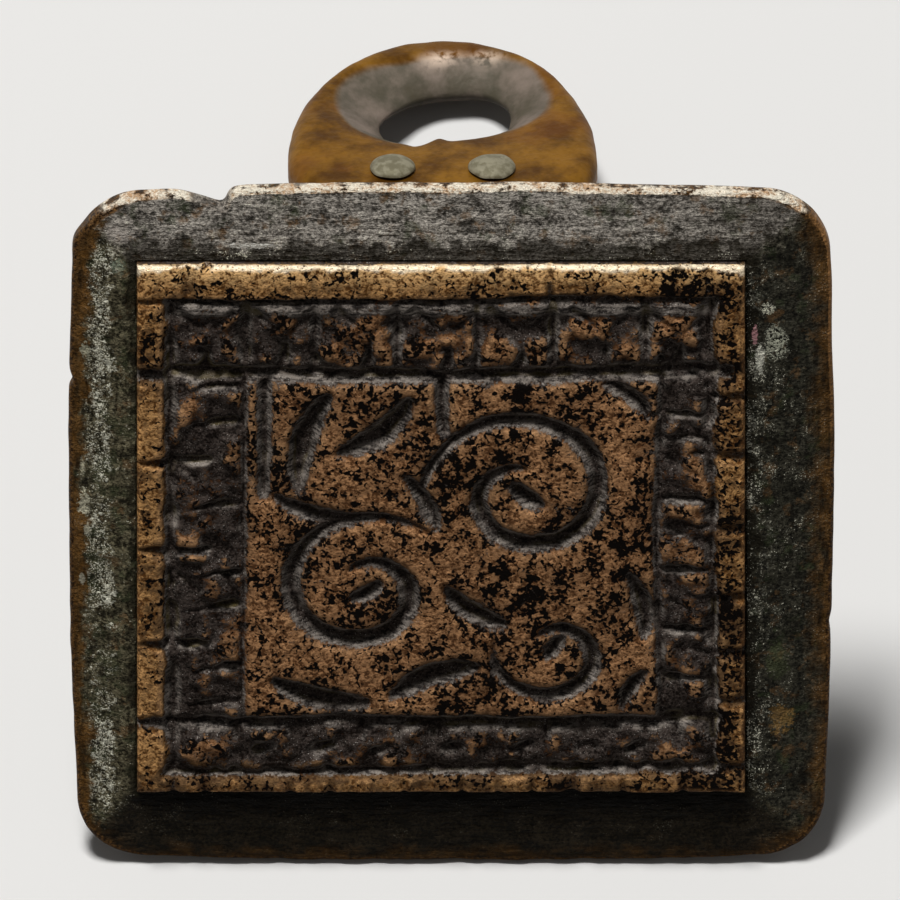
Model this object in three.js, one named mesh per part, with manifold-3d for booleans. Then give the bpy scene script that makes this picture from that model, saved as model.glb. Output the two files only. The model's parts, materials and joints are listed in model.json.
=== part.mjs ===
// A stamp seal of copper alloy, laid down as it rests on a table. An engraved die sits in a
// bevelled plate, and a shank on the plate's back ends in a flat pierced loop for a cord.
//
// All sizes are in millimetres. The seal is modelled in its own axes and laid down at the
// end: x runs to the right across the face, y up the face and z out of the face, with the
// back edge of the plate's rim at z = 0 and the handle reaching to -z.

import * as THREE from 'three';
import { ConvexGeometry } from 'three/addons/geometries/ConvexGeometry.js';
import { mergeVertices } from 'three/addons/utils/BufferGeometryUtils.js';
import Module from 'manifold-3d';

const wasm = await Module();
wasm.setup();

// Fits between pieces.
const fit = 0.1;
const overrun = 0.5;

// The bevelled plate.
const plateWidth = 27.7;
const plateHeight = 28.2;
const plateCornerRadius = 2.6;
const sideBulge = 0.22;
const rimThickness = 0.6;
const rimRound = 0.15;
const bevelRise = 0.5;
const bevelLedge = 0.15;
const backRise = 1.8;
const footMargin = 0.8;
const backFlatCornerRadius = 2.5;
const notchX = -8.8;
const notchRadius = 0.45;
const notchDepth = 0.6;

// The die, its step above the bevel and the solder under it.
const dieTopWidth = 22.2;
const dieWidening = 0.3;
const dieHeight = 22.35;
const dieThickness = 1.3;
const dieStep = 0.5;
const dieX = -0.37;
const dieY = 0.34;
const solderThickness = 0.2;

// The engraving: a plain strip round the edge, a frame line, a patterned band, a second
// frame line and the field inside.
const engravingDepth = 0.32;
const stripWidth = 0.85;
const frameLineWidth = 0.35;
const bandWidth = { left: 2.4, right: 1.65, bottom: 1.65, top: 2.6 };
const bandPitch = { left: 3.9, right: 2.5, bottom: 1.4, top: 2.85 };
const barWidth = 0.3;
const chevronWidth = 0.34;
const chevronHeight = 0.62;
const uprightWidth = 0.7;
const strokeTip = 0.16;

// The scroll in the field. Its places are shares of the field's half width and half height,
// its angles are in degrees and its widths in millimetres.
const volutes = [
  { x: 0.36, y: 0.3, from: 0.52, to: 0.14, start: -160, sweep: -480, width: 1 },
  { x: -0.43, y: -0.26, from: 0.46, to: 0.13, start: 40, sweep: 450, width: 1 },
  { x: 0.5, y: -0.64, from: 0.3, to: 0.12, start: 165, sweep: 330, width: 0.9 },
];
const leaves = [
  { x: -0.66, y: 0.6, angle: 75, length: 0.62, bend: 0.2, width: 1.25 },
  { x: -0.38, y: 0.7, angle: 42, length: 0.52, bend: -0.2, width: 1.15 },
  { x: -0.66, y: 0.24, angle: 165, length: 0.46, bend: 0.24, width: 0.9 },
  { x: -0.16, y: 0.24, angle: -62, length: 0.4, bend: 0.2, width: 0.9 },
  { x: -0.08, y: -0.82, angle: 22, length: 0.5, bend: 0.22, width: 1.25 },
  { x: -0.64, y: -0.86, angle: -16, length: 0.52, bend: -0.2, width: 1.2 },
  { x: 0.9, y: -0.36, angle: 100, length: 0.42, bend: -0.2, width: 1 },
  { x: 0.12, y: -0.36, angle: -38, length: 0.4, bend: -0.22, width: 1.05 },
  { x: 0.86, y: 0.84, angle: -42, length: 0.32, bend: 0.25, width: 0.9 },
  { x: 0.9, y: -0.86, angle: 62, length: 0.28, bend: 0.2, width: 0.8 },
  { x: 0.38, y: 0.3, angle: 140, length: 0.22, bend: 0.2, width: 1 },
  { x: -0.42, y: -0.26, angle: 35, length: 0.2, bend: -0.2, width: 0.9 },
  { x: 0.52, y: -0.62, angle: 60, length: 0.16, bend: 0.2, width: 0.8 },
];
const uprights = [
  { x: -0.92, bottom: 0.3, top: 0.94 },
  { x: -0.04, bottom: 0.66, top: 0.96 },
];

// The shank, with its tenon through the plate and its tab for the loop. It is a round
// turning that is flattened a little at its foot and more at its collar.
const handleX = -0.33;
const shankLength = 18.6;
const footRadius = 5.5;
const footHalfDepth = 4.4;
const collarHalfDepth = 2.55;
const footThickness = 0.7;
const neckRadius = 2.6;
const collarLip = 0.8;
const collarLength = 2.4;
const tenonWidth = 3;
const tenonSpread = 0.8;
const tenonHeadThickness = 0.7;
const tabThickness = 1.5;
const tabSideEdge = 1.925;
const tabEndEdge = 1.95;

// The loop and the two rivets that hold it on the tab. Distances along it start at the
// shoulder of the shank.
const loopThickness = 1.75;
const loopHalfWidth = 5.9;
const loopWidestAt = 4.2;
const loopEdgeRound = 0.3;
const loopSideWall = 2.15;
const loopTipWall = 1.7;
const holeToTab = 0.2;
const holeLength = 6.6;
const holeSquareness = 2.5;
const holeSlant = 4;
const throatSideWall = 3.2;
const throatSetBack = 0.3;
const throatLength = 6.3;
const throatDepth = 0.5;
const throatSquareness = 3.2;
const throatSlant = 10;
const rivetRadius = 0.55;
const rivetHeadRadius = 0.88;
const rivetHeadHeight = 0.35;
const rivetSpacing = 3.75;
const rivetsAt = 2.65;

// Fineness of round shapes.
const cornerSteps = 8;
const turnSteps = 32;
const holeSteps = 40;
const degreesPerStep = 22;
const leafSteps = 7;

// Heights worked out from the sizes above.
const bevelTop = rimThickness + bevelRise;
const faceZ = bevelTop + dieStep;
const dieBackZ = faceZ - dieThickness;
const solderZ = dieBackZ - fit - solderThickness;
const recessFloorZ = solderZ - fit;
const seatZ = -backRise;
const footZ = seatZ - fit;
const shoulderZ = footZ - shankLength;
const tenonTopZ = recessFloorZ - fit;
const tabTopY = -fit / 2;
const loopBackY = fit / 2;

// Widths and places that follow from the sizes above.
const dieBottomWidth = dieTopWidth + dieWidening;
const backFlatSize = 2 * (footRadius + footMargin);
const tenonHeadWidth = tenonWidth + 2 * tenonSpread;
const tabWidth = rivetSpacing + 2 * tabSideEdge;
const tabLength = rivetsAt + tabEndEdge;
const collarRadius = tabWidth / 2 + collarLip;
const holeHalfWidth = loopHalfWidth - loopSideWall;
const throatHalfWidth = loopHalfWidth - throatSideWall;
const holeStart = tabLength + holeToTab;
const throatStart = holeStart + throatSetBack;
const loopLength = holeStart + holeLength + loopTipWall;
const tipDistance = loopLength + fit - shoulderZ;

const radians = THREE.MathUtils.degToRad;

// Turns a closed geometry into a solid that can be joined and cut.
function solidOf(geometry) {
  const bare = geometry.clone();
  for (const name of Object.keys(bare.attributes)) {
    if (name !== 'position') bare.deleteAttribute(name);
  }
  const merged = mergeVertices(bare);
  return new wasm.Manifold(new wasm.Mesh({
    numProp: 3,
    vertProperties: Float32Array.from(merged.attributes.position.array),
    triVerts: Uint32Array.from(merged.index.array),
  }));
}

function geometryOf(solid) {
  const mesh = solid.getMesh();
  const geometry = new THREE.BufferGeometry();
  geometry.setAttribute('position', new THREE.BufferAttribute(mesh.vertProperties, mesh.numProp));
  geometry.setIndex(new THREE.BufferAttribute(mesh.triVerts, 1));
  geometry.computeVertexNormals();
  return geometry;
}

// Extrudes a flat outline, drawn in x and y, from one height to another.
function extrude(shape, fromZ, toZ) {
  const geometry = new THREE.ExtrudeGeometry(shape, { depth: toZ - fromZ, bevelEnabled: false });
  return geometry.translate(0, 0, fromZ);
}

// Extrudes an outline drawn in x and in distance from the shoulder, away from the face,
// so that its thickness runs along y from one height to another.
function extrudeAcrossHandle(shape, fromY, toY, round) {
  const geometry = new THREE.ExtrudeGeometry(shape, {
    depth: toY - fromY - 2 * round,
    bevelEnabled: round > 0,
    bevelThickness: round,
    bevelSize: round,
    bevelOffset: -round,
    bevelSegments: 2,
    curveSegments: cornerSteps,
  });
  geometry.rotateX(-Math.PI / 2);
  return geometry.translate(handleX, fromY + round, shoulderZ);
}

// A rounded rectangle whose sides swell outwards by the bulge, as flat points.
function roundedOutline(width, height, radius, bulge) {
  const points = [];
  const centreX = width / 2 - radius;
  const centreY = height / 2 - radius;
  for (let corner = 0; corner < 4; corner += 1) {
    const signX = corner === 0 || corner === 3 ? 1 : -1;
    const signY = corner < 2 ? 1 : -1;
    for (let step = 0; step <= cornerSteps; step += 1) {
      const angle = (corner + step / cornerSteps) * Math.PI / 2;
      const x = signX * centreX + radius * Math.cos(angle);
      const y = signY * centreY + radius * Math.sin(angle);
      points.push(new THREE.Vector2(x, y));
    }
  }
  points.push(new THREE.Vector2(width / 2 + bulge, 0), new THREE.Vector2(-width / 2 - bulge, 0));
  points.push(new THREE.Vector2(0, height / 2 + bulge), new THREE.Vector2(0, -height / 2 - bulge));
  return points;
}

function dieOutline(margin) {
  const top = dieY + dieHeight / 2 + margin;
  const bottom = dieY - dieHeight / 2 - margin;
  const topHalf = dieTopWidth / 2 + margin;
  const bottomHalf = dieBottomWidth / 2 + margin;
  return [
    new THREE.Vector2(dieX - bottomHalf, bottom),
    new THREE.Vector2(dieX + bottomHalf, bottom),
    new THREE.Vector2(dieX + topHalf, top),
    new THREE.Vector2(dieX - topHalf, top),
  ];
}

// A square peg whose sides slope from one width to another.
function squareTaper(fromWidth, toWidth, fromZ, toZ) {
  const toRadius = toWidth / Math.SQRT2;
  const fromRadius = fromWidth / Math.SQRT2;
  const geometry = new THREE.CylinderGeometry(toRadius, fromRadius, toZ - fromZ, 4);
  geometry.rotateY(Math.PI / 4);
  geometry.rotateX(Math.PI / 2);
  return geometry.translate(handleX, 0, (fromZ + toZ) / 2);
}

// The tenon with its spread head, or with a margin the mortise that it fills.
function tenonSolid(margin, bottomZ) {
  const headBottomZ = tenonTopZ - tenonHeadThickness;
  const width = tenonWidth + 2 * margin;
  const headWidth = tenonHeadWidth + 2 * margin;
  const neck = solidOf(squareTaper(width, width, bottomZ, tenonTopZ));
  const head = solidOf(squareTaper(width, headWidth, headBottomZ - margin, tenonTopZ));
  return neck.add(head);
}

// A cylinder along y, through the loop and its tab, for a rivet hole.
function rivetHole(x) {
  const length = loopThickness + tabThickness + 2 * overrun;
  const geometry = new THREE.CylinderGeometry(rivetRadius + fit, rivetRadius + fit, length, turnSteps / 2);
  const middleY = (loopThickness - tabThickness) / 2;
  return solidOf(geometry.translate(x, middleY, shoulderZ - rivetsAt));
}

const rivetPlaces = [handleX - rivetSpacing / 2, handleX + rivetSpacing / 2];

function drillForRivets(solid) {
  return rivetPlaces.reduce((drilled, x) => drilled.subtract(rivetHole(x)), solid);
}

function plateBody() {
  const points = [];
  const addOutline = (outline, z) => {
    for (const point of outline) points.push(new THREE.Vector3(point.x, point.y, z));
  };
  const inner = roundedOutline(
    plateWidth - 2 * rimRound,
    plateHeight - 2 * rimRound,
    plateCornerRadius - rimRound,
    sideBulge,
  );
  const outer = roundedOutline(plateWidth, plateHeight, plateCornerRadius, sideBulge);
  addOutline(roundedOutline(backFlatSize, backFlatSize, backFlatCornerRadius, 0), seatZ);
  addOutline(inner, 0);
  addOutline(outer, rimRound);
  addOutline(outer, rimThickness - rimRound);
  addOutline(inner, rimThickness);
  addOutline(dieOutline(fit + bevelLedge), bevelTop);
  return solidOf(new ConvexGeometry(points));
}

function basePlate() {
  const recess = solidOf(extrude(new THREE.Shape(dieOutline(fit)), recessFloorZ, faceZ));
  const notchReach = rimThickness + bevelRise + 2 * overrun;
  const notch = new THREE.CylinderGeometry(notchRadius, notchRadius, notchReach, turnSteps / 2);
  notch.rotateX(Math.PI / 2);
  const notchY = plateHeight / 2 + sideBulge + notchRadius - notchDepth;
  notch.translate(notchX, notchY, bevelTop / 2);
  const mortise = tenonSolid(fit, seatZ - overrun).add(
    solidOf(squareTaper(
      tenonHeadWidth + 2 * fit,
      tenonHeadWidth + 2 * fit,
      tenonTopZ,
      recessFloorZ + overrun,
    )),
  );
  return plateBody().subtract(recess).subtract(solidOf(notch)).subtract(mortise);
}

function solderBed() {
  return solidOf(extrude(new THREE.Shape(dieOutline(0)), solderZ, solderZ + solderThickness));
}

// Sides of the square that each ring of the engraving encloses, from the die's edges in.
function engravingFrame(inset) {
  const narrowHalf = dieTopWidth / 2;
  return {
    left: dieX - narrowHalf + inset.left,
    right: dieX + narrowHalf - inset.right,
    bottom: dieY - dieHeight / 2 + inset.bottom,
    top: dieY + dieHeight / 2 - inset.top,
  };
}

function insets(bands, lines) {
  const inset = {};
  for (const side of ['left', 'right', 'bottom', 'top']) {
    inset[side] = stripWidth + bands * bandWidth[side] + lines * frameLineWidth;
  }
  return inset;
}

const bandFrame = engravingFrame(insets(0, 1));
const lineFrame = engravingFrame(insets(1, 1));
const fieldFrame = engravingFrame(insets(1, 2));

// A tool that cuts what lies inside a flat outline, down to the engraving's depth.
function engravingTool(shape) {
  return solidOf(extrude(shape, faceZ - engravingDepth, faceZ + overrun));
}

function rectangle(left, right, bottom, top) {
  return new THREE.Shape([
    new THREE.Vector2(left, bottom),
    new THREE.Vector2(right, bottom),
    new THREE.Vector2(right, top),
    new THREE.Vector2(left, top),
  ]);
}

// The frame line that runs round just outside a frame.
function frameLine(frame) {
  const shape = rectangle(
    frame.left - frameLineWidth,
    frame.right + frameLineWidth,
    frame.bottom - frameLineWidth,
    frame.top + frameLineWidth,
  );
  shape.holes.push(rectangle(frame.left, frame.right, frame.bottom, frame.top));
  return engravingTool(shape);
}

// Places along a length, evenly spaced at about the pitch, without the two ends.
function dividers(from, to, pitch) {
  const count = Math.max(2, Math.round((to - from) / pitch));
  const step = (to - from) / count;
  return Array.from({ length: count - 1 }, (_, index) => from + (index + 1) * step);
}

// A line of changing width along flat points, as an outline.
function strokeShape(points, widthAt) {
  const left = [];
  const right = [];
  points.forEach((point, index) => {
    const before = points[Math.max(index - 1, 0)];
    const after = points[Math.min(index + 1, points.length - 1)];
    const along = after.clone().sub(before).normalize();
    const half = widthAt(index / (points.length - 1)) / 2;
    const side = new THREE.Vector2(-along.y * half, along.x * half);
    left.push(point.clone().add(side));
    right.unshift(point.clone().sub(side));
  });
  return new THREE.Shape(left.concat(right));
}

function chevron(x, bottom, top) {
  const rise = (top - bottom) * chevronHeight;
  const half = rise / 2;
  const middle = (bottom + top) / 2;
  const points = [
    new THREE.Vector2(x - half, middle - half),
    new THREE.Vector2(x, middle + half),
    new THREE.Vector2(x + half, middle - half),
  ];
  return engravingTool(strokeShape(points, () => chevronWidth));
}

// Bars across the four bands, and a chevron in each cell of the top band.
function bandTools() {
  const tools = [];
  const half = barWidth / 2;
  for (const y of dividers(lineFrame.bottom, lineFrame.top, bandPitch.left)) {
    tools.push(engravingTool(rectangle(bandFrame.left, lineFrame.left, y - half, y + half)));
  }
  for (const y of dividers(lineFrame.bottom, lineFrame.top, bandPitch.right)) {
    tools.push(engravingTool(rectangle(lineFrame.right, bandFrame.right, y - half, y + half)));
  }
  for (const x of dividers(bandFrame.left, bandFrame.right, bandPitch.bottom)) {
    tools.push(engravingTool(rectangle(x - half, x + half, bandFrame.bottom, lineFrame.bottom)));
  }
  const topBars = dividers(bandFrame.left, bandFrame.right, bandPitch.top);
  for (const x of topBars) {
    tools.push(engravingTool(rectangle(x - half, x + half, lineFrame.top, bandFrame.top)));
  }
  const cell = (bandFrame.right - bandFrame.left) / (topBars.length + 1);
  for (const x of [bandFrame.left, ...topBars]) {
    tools.push(chevron(x + cell / 2, lineFrame.top, bandFrame.top));
  }
  return tools;
}

// Places in the field from shares of its half width and half height.
const fieldCentreX = (fieldFrame.left + fieldFrame.right) / 2;
const fieldCentreY = (fieldFrame.bottom + fieldFrame.top) / 2;
const fieldHalfX = (fieldFrame.right - fieldFrame.left) / 2;
const fieldHalfY = (fieldFrame.top - fieldFrame.bottom) / 2;

function fieldPoint(x, y) {
  return new THREE.Vector2(fieldCentreX + x * fieldHalfX, fieldCentreY + y * fieldHalfY);
}

// A cut stroke is as wide as its tool along most of its length and narrow at both ends.
function taperedStroke(points, width) {
  const widthAt = (share) => strokeTip + (width - strokeTip) * Math.sin(Math.PI * share) ** 0.5;
  return engravingTool(strokeShape(points, widthAt));
}

function voluteTool(volute) {
  const steps = Math.ceil(Math.abs(volute.sweep) / degreesPerStep);
  const points = [];
  for (let step = 0; step <= steps; step += 1) {
    const share = step / steps;
    const angle = radians(volute.start + volute.sweep * share);
    const radius = THREE.MathUtils.lerp(volute.from, volute.to, share);
    points.push(fieldPoint(volute.x + radius * Math.cos(angle), volute.y + radius * Math.sin(angle)));
  }
  return taperedStroke(points, volute.width);
}

function leafTool(leaf) {
  const reachX = leaf.length / 2 * Math.cos(radians(leaf.angle));
  const reachY = leaf.length / 2 * Math.sin(radians(leaf.angle));
  const curve = new THREE.QuadraticBezierCurve(
    fieldPoint(leaf.x - reachX, leaf.y - reachY),
    fieldPoint(leaf.x - 2 * leaf.bend * reachY, leaf.y + 2 * leaf.bend * reachX),
    fieldPoint(leaf.x + reachX, leaf.y + reachY),
  );
  return taperedStroke(curve.getPoints(leafSteps), leaf.width);
}

function uprightTool(upright) {
  const middle = fieldPoint(upright.x, 0).x;
  const bottom = fieldPoint(0, upright.bottom).y;
  const top = fieldPoint(0, upright.top).y;
  return engravingTool(rectangle(middle - uprightWidth / 2, middle + uprightWidth / 2, bottom, top));
}

function diePlate() {
  const body = solidOf(extrude(new THREE.Shape(dieOutline(0)), dieBackZ, faceZ));
  const tools = [
    frameLine(bandFrame),
    frameLine(fieldFrame),
    ...bandTools(),
    ...volutes.map(voluteTool),
    ...leaves.map(leafTool),
    ...uprights.map(uprightTool),
  ];
  return tools.reduce((cut, tool) => cut.subtract(tool), body);
}

// Flattens the turned shank from its foot to its collar, so that it is wider than it is thick.
function flatten(geometry) {
  const places = geometry.attributes.position;
  const atFoot = footHalfDepth / footRadius;
  const atCollar = collarHalfDepth / collarRadius;
  for (let index = 0; index < places.count; index += 1) {
    const share = -places.getZ(index) / shankLength;
    places.setY(index, places.getY(index) * THREE.MathUtils.lerp(atFoot, atCollar, share));
  }
  return geometry;
}

// The shank is turned from a profile of radius against distance from the plate's back.
function shankBody() {
  const collarStart = shankLength - collarLength;
  const profile = new THREE.Path();
  profile.moveTo(0, 0);
  profile.lineTo(footRadius, 0);
  profile.lineTo(footRadius, footThickness);
  profile.quadraticCurveTo(neckRadius, shankLength * 0.16, neckRadius, shankLength * 0.5);
  profile.quadraticCurveTo(neckRadius, collarStart * 0.9, neckRadius * 1.25, collarStart);
  profile.quadraticCurveTo(collarRadius, collarStart, collarRadius, collarStart + collarLength / 2);
  profile.lineTo(collarRadius, shankLength);
  profile.lineTo(0, shankLength);
  const geometry = new THREE.LatheGeometry(profile.getPoints(cornerSteps), turnSteps);
  geometry.rotateX(-Math.PI / 2);
  return flatten(geometry).translate(handleX, 0, footZ);
}

// The tab that carries the loop, drawn from just inside the collar to its rounded end.
function tabOutline() {
  const half = tabWidth / 2;
  const corner = half / 2;
  const shape = new THREE.Shape();
  shape.moveTo(-half, -overrun);
  shape.lineTo(half, -overrun);
  shape.lineTo(half, tabLength - corner);
  shape.quadraticCurveTo(half, tabLength, half - corner, tabLength);
  shape.lineTo(corner - half, tabLength);
  shape.quadraticCurveTo(-half, tabLength, -half, tabLength - corner);
  shape.closePath();
  return shape;
}

function handleShank() {
  const tab = extrudeAcrossHandle(tabOutline(), tabTopY - tabThickness, tabTopY, 0);
  const tenon = tenonSolid(0, footZ - overrun);
  return drillForRivets(solidOf(shankBody()).add(tenon).add(solidOf(tab)));
}

// A slightly squared oval that leans, in x and distance from the shoulder.
function ovalPoints(halfWidth, start, length, squareness, slant) {
  const points = [];
  const centre = new THREE.Vector2(0, start + length / 2);
  for (let step = 0; step < holeSteps; step += 1) {
    const angle = (step / holeSteps) * 2 * Math.PI;
    const cosine = Math.cos(angle);
    const sine = Math.sin(angle);
    points.push(new THREE.Vector2(
      halfWidth * Math.sign(cosine) * Math.abs(cosine) ** (2 / squareness),
      (length / 2) * Math.sign(sine) * Math.abs(sine) ** (2 / squareness),
    ).rotateAround(new THREE.Vector2(), radians(slant)).add(centre));
  }
  return points;
}

// The cord's hole narrows from a wide oval on the front of the loop to a smaller throat.
function cordHole() {
  const rim = ovalPoints(holeHalfWidth, holeStart, holeLength, holeSquareness, holeSlant);
  const throat = ovalPoints(
    throatHalfWidth,
    throatStart,
    throatLength,
    throatSquareness,
    throatSlant,
  );
  const frontY = loopBackY + loopThickness;
  const points = [];
  const addOval = (oval, y) => {
    for (const point of oval) {
      points.push(new THREE.Vector3(handleX + point.x, y, shoulderZ - point.y));
    }
  };
  addOval(throat, loopBackY + throatDepth);
  addOval(rim, frontY);
  addOval(rim, frontY + overrun);
  const straight = extrudeAcrossHandle(new THREE.Shape(throat), loopBackY - overrun, frontY, 0);
  return solidOf(new ConvexGeometry(points)).add(solidOf(straight));
}

// The loop's outline: a tang as wide as the tab that flares into a tall round arch.
function loopOutline() {
  const half = tabWidth / 2;
  const archHeight = loopLength - loopWidestAt;
  const shape = new THREE.Shape();
  shape.moveTo(-half, fit);
  shape.lineTo(half, fit);
  shape.quadraticCurveTo(loopHalfWidth, loopWidestAt / 2, loopHalfWidth, loopWidestAt + fit);
  shape.absellipse(0, loopWidestAt + fit, loopHalfWidth, archHeight, 0, Math.PI, false, 0);
  shape.quadraticCurveTo(-loopHalfWidth, loopWidestAt / 2, -half, fit);
  return shape;
}

function handleLoop() {
  const loop = extrudeAcrossHandle(
    loopOutline(),
    loopBackY,
    loopBackY + loopThickness,
    loopEdgeRound,
  );
  return drillForRivets(solidOf(loop).subtract(cordHole()));
}

// A rivet along y with a low domed head on the loop and another on the tab.
function loopRivet(x) {
  const bottomFace = tabTopY - tabThickness - fit;
  const topFace = loopBackY + loopThickness + fit;
  const profile = new THREE.Path();
  profile.moveTo(0, bottomFace - rivetHeadHeight);
  profile.quadraticCurveTo(rivetHeadRadius, bottomFace - rivetHeadHeight, rivetHeadRadius, bottomFace);
  profile.lineTo(rivetRadius, bottomFace);
  profile.lineTo(rivetRadius, topFace);
  profile.lineTo(rivetHeadRadius, topFace);
  profile.quadraticCurveTo(rivetHeadRadius, topFace + rivetHeadHeight, 0, topFace + rivetHeadHeight);
  const geometry = new THREE.LatheGeometry(profile.getPoints(cornerSteps / 2), turnSteps / 2);
  return solidOf(geometry.translate(x, 0, shoulderZ - rivetsAt));
}

// Finishes: worn brown copper on the die, grey-green bronze on the plate, golden brown
// bronze on the handle and pale worn rivet heads.
function finish(color, roughness, metalness) {
  return new THREE.MeshStandardMaterial({ color, roughness, metalness });
}

function piece(name, solid, material) {
  const mesh = new THREE.Mesh(geometryOf(solid), material);
  mesh.name = name;
  return mesh;
}

const seal = new THREE.Group();
seal.add(
  piece('die_plate', diePlate(), finish(0x8a5f3c, 0.55, 0.8)),
  piece('solder_bed', solderBed(), finish(0x8c8f92, 0.6, 0.9)),
  piece('base_plate', basePlate(), finish(0x55554c, 0.6, 0.6)),
  piece('handle_shank', handleShank(), finish(0x6f4d24, 0.55, 0.7)),
  piece('handle_loop', handleLoop(), finish(0x7d5522, 0.5, 0.75)),
  piece('loop_rivet_left', loopRivet(rivetPlaces[0]), finish(0xa3a08c, 0.45, 0.6)),
  piece('loop_rivet_right', loopRivet(rivetPlaces[1]), finish(0xa3a08c, 0.45, 0.6)),
);

// The seal lies on the lower edge of its plate and the tip of its loop: the face leans back
// until the line between those two contacts is level.
const plateContact = new THREE.Vector2(-plateHeight / 2 - sideBulge, rimRound);
const tipContact = new THREE.Vector2(loopBackY, loopEdgeRound - tipDistance);
const layAngle = Math.atan2(tipContact.x - plateContact.x, plateContact.y - tipContact.y);
seal.rotation.x = Math.PI / 2 - layAngle;

// The origin is on the table, under the middle of the seal.
const laidDown = new THREE.Group();
laidDown.add(seal);
const extent = new THREE.Box3().setFromObject(laidDown, true);
const middle = extent.getCenter(new THREE.Vector3());
seal.position.set(-middle.x, -middle.y, -extent.min.z);

export default laidDown;
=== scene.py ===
# %% [markdown]
# # A stamp seal, dressed in Blender
#
# A stamp seal is a small hand tool. Its engraved face is pressed into ink, wax or clay. This
# one has an engraved square die set in a bevelled plate, with a shank and a pierced loop
# behind it, all of copper alloy that was worn bright on its high places and has gone dark in
# its low ones. The solids come from a CAD model that is loaded as a fixed frame. The cells
# below build a finer surface for each piece in the same place, and then the metal finishes.

import json
import math
from itertools import product

import bmesh
import bpy
import numpy as np
from mathutils import Matrix, Vector


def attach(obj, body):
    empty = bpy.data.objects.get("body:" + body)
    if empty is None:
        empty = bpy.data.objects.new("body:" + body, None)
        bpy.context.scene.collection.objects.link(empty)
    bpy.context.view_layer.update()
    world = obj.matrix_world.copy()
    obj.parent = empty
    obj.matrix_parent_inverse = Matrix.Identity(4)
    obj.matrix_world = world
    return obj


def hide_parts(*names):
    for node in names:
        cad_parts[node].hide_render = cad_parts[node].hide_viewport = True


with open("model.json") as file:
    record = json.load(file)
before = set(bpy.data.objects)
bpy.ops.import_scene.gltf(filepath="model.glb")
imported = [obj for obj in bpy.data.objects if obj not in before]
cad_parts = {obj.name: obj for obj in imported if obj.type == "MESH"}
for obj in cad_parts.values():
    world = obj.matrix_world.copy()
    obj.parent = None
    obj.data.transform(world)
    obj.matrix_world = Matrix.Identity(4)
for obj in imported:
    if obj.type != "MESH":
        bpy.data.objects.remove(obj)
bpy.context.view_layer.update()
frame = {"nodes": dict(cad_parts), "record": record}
print("CAD nodes:", sorted(frame["nodes"]))

# %% [markdown]
# ## The seal's own axes
#
# The seal lies tilted on the table, which is awkward to model in. Every piece is therefore
# built in the seal's own axes, in millimetres: x across the face, y up the face and z out of
# it. One matrix then lays all of them down. It is measured from the CAD nodes, so the pieces
# follow them if they move.

# %% One matrix that lays the seal down
FACE_Z = 1.6  # height of the printing face above the back edge of the plate's rim
FACE_OUT = Vector(frame["record"]["mounts"][0]["axis"]).normalized()
FACE_RIGHT = Vector((1, 0, 0))
FACE_UP = FACE_OUT.cross(FACE_RIGHT)
TURN = Matrix((FACE_RIGHT, FACE_UP, FACE_OUT))


def turned_box(node):
    """Lowest and highest corner of a CAD node along the seal's axes, in mm from the row's origin."""
    points = np.array([vertex.co for vertex in frame["nodes"][node].data.vertices])
    points = points @ np.array(TURN).T * 1000
    return points.min(0), points.max(0)


plate_low, plate_high = turned_box("base_plate")
die_low, die_high = turned_box("die_plate")
zero = np.array([*(plate_low + plate_high)[:2] / 2, die_high[2] - FACE_Z])
LAID_DOWN = Matrix.Translation(TURN.transposed() @ Vector(zero / 1000)) @ TURN.transposed().to_4x4()
DIE_X, DIE_Y = ((die_low + die_high) / 2 - zero)[:2]
print(f"die centre at x {DIE_X:.2f}, y {DIE_Y:.2f} mm; zero at {zero.round(2)} mm")

# %% [markdown]
# ## Camera and lamp
#
# The face is seen from 30 degrees above the line square to it, through a long lens, as in a
# close-up from most of a metre away. The light is one soft lamp above the face, a little in
# front of it and to its left. It rakes down the face, so that each cut shows a dark upper and
# a bright lower side. A lamp straight in front would show the colours but hide the engraving.

# %% Camera
VIEW_ABOVE_NORMAL = math.radians(30)
VIEW_DISTANCE = 0.8
VIEW_WIDTH = 0.03307  # what the frame takes in at the die, in metres
AIM_RIGHT, AIM_UP = 0.33, 3.07  # the picture's middle from the die's middle, in mm


def row_point(x, y, z):
    """A point in the seal's axes, in mm, as a point of the row frame in metres."""
    return LAID_DOWN @ Vector((x / 1000, y / 1000, z / 1000))


toward_camera = FACE_OUT * math.cos(VIEW_ABOVE_NORMAL) + FACE_UP * math.sin(VIEW_ABOVE_NORMAL)
picture_up = FACE_UP * math.cos(VIEW_ABOVE_NORMAL) - FACE_OUT * math.sin(VIEW_ABOVE_NORMAL)
aim = row_point(DIE_X + AIM_RIGHT, DIE_Y, FACE_Z) + picture_up * AIM_UP / 1000

camera_data = bpy.data.cameras.new("view")
camera_data.sensor_width = 36
camera_data.lens = camera_data.sensor_width * VIEW_DISTANCE / VIEW_WIDTH
camera_data.clip_start = 0.01
camera = bpy.data.objects.new("view", camera_data)
bpy.context.scene.collection.objects.link(camera)
camera.matrix_world = Matrix.Translation(aim + toward_camera * VIEW_DISTANCE) @ Matrix(
    (FACE_RIGHT, picture_up, toward_camera)
).transposed().to_4x4()
bpy.context.scene.camera = camera
print(f"lens {camera_data.lens:.0f} mm, camera at {camera.location[:]}")

# %% Lamp
LAMP_LIFT = 0.32  # how far the light comes from in front of the face: 0 is straight down it
LAMP_LEFT = 0.14  # how far it comes from the left
LAMP_DISTANCE = 0.6
LAMP_SIZE = 0.12
LAMP_POWER = 3.4

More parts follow.
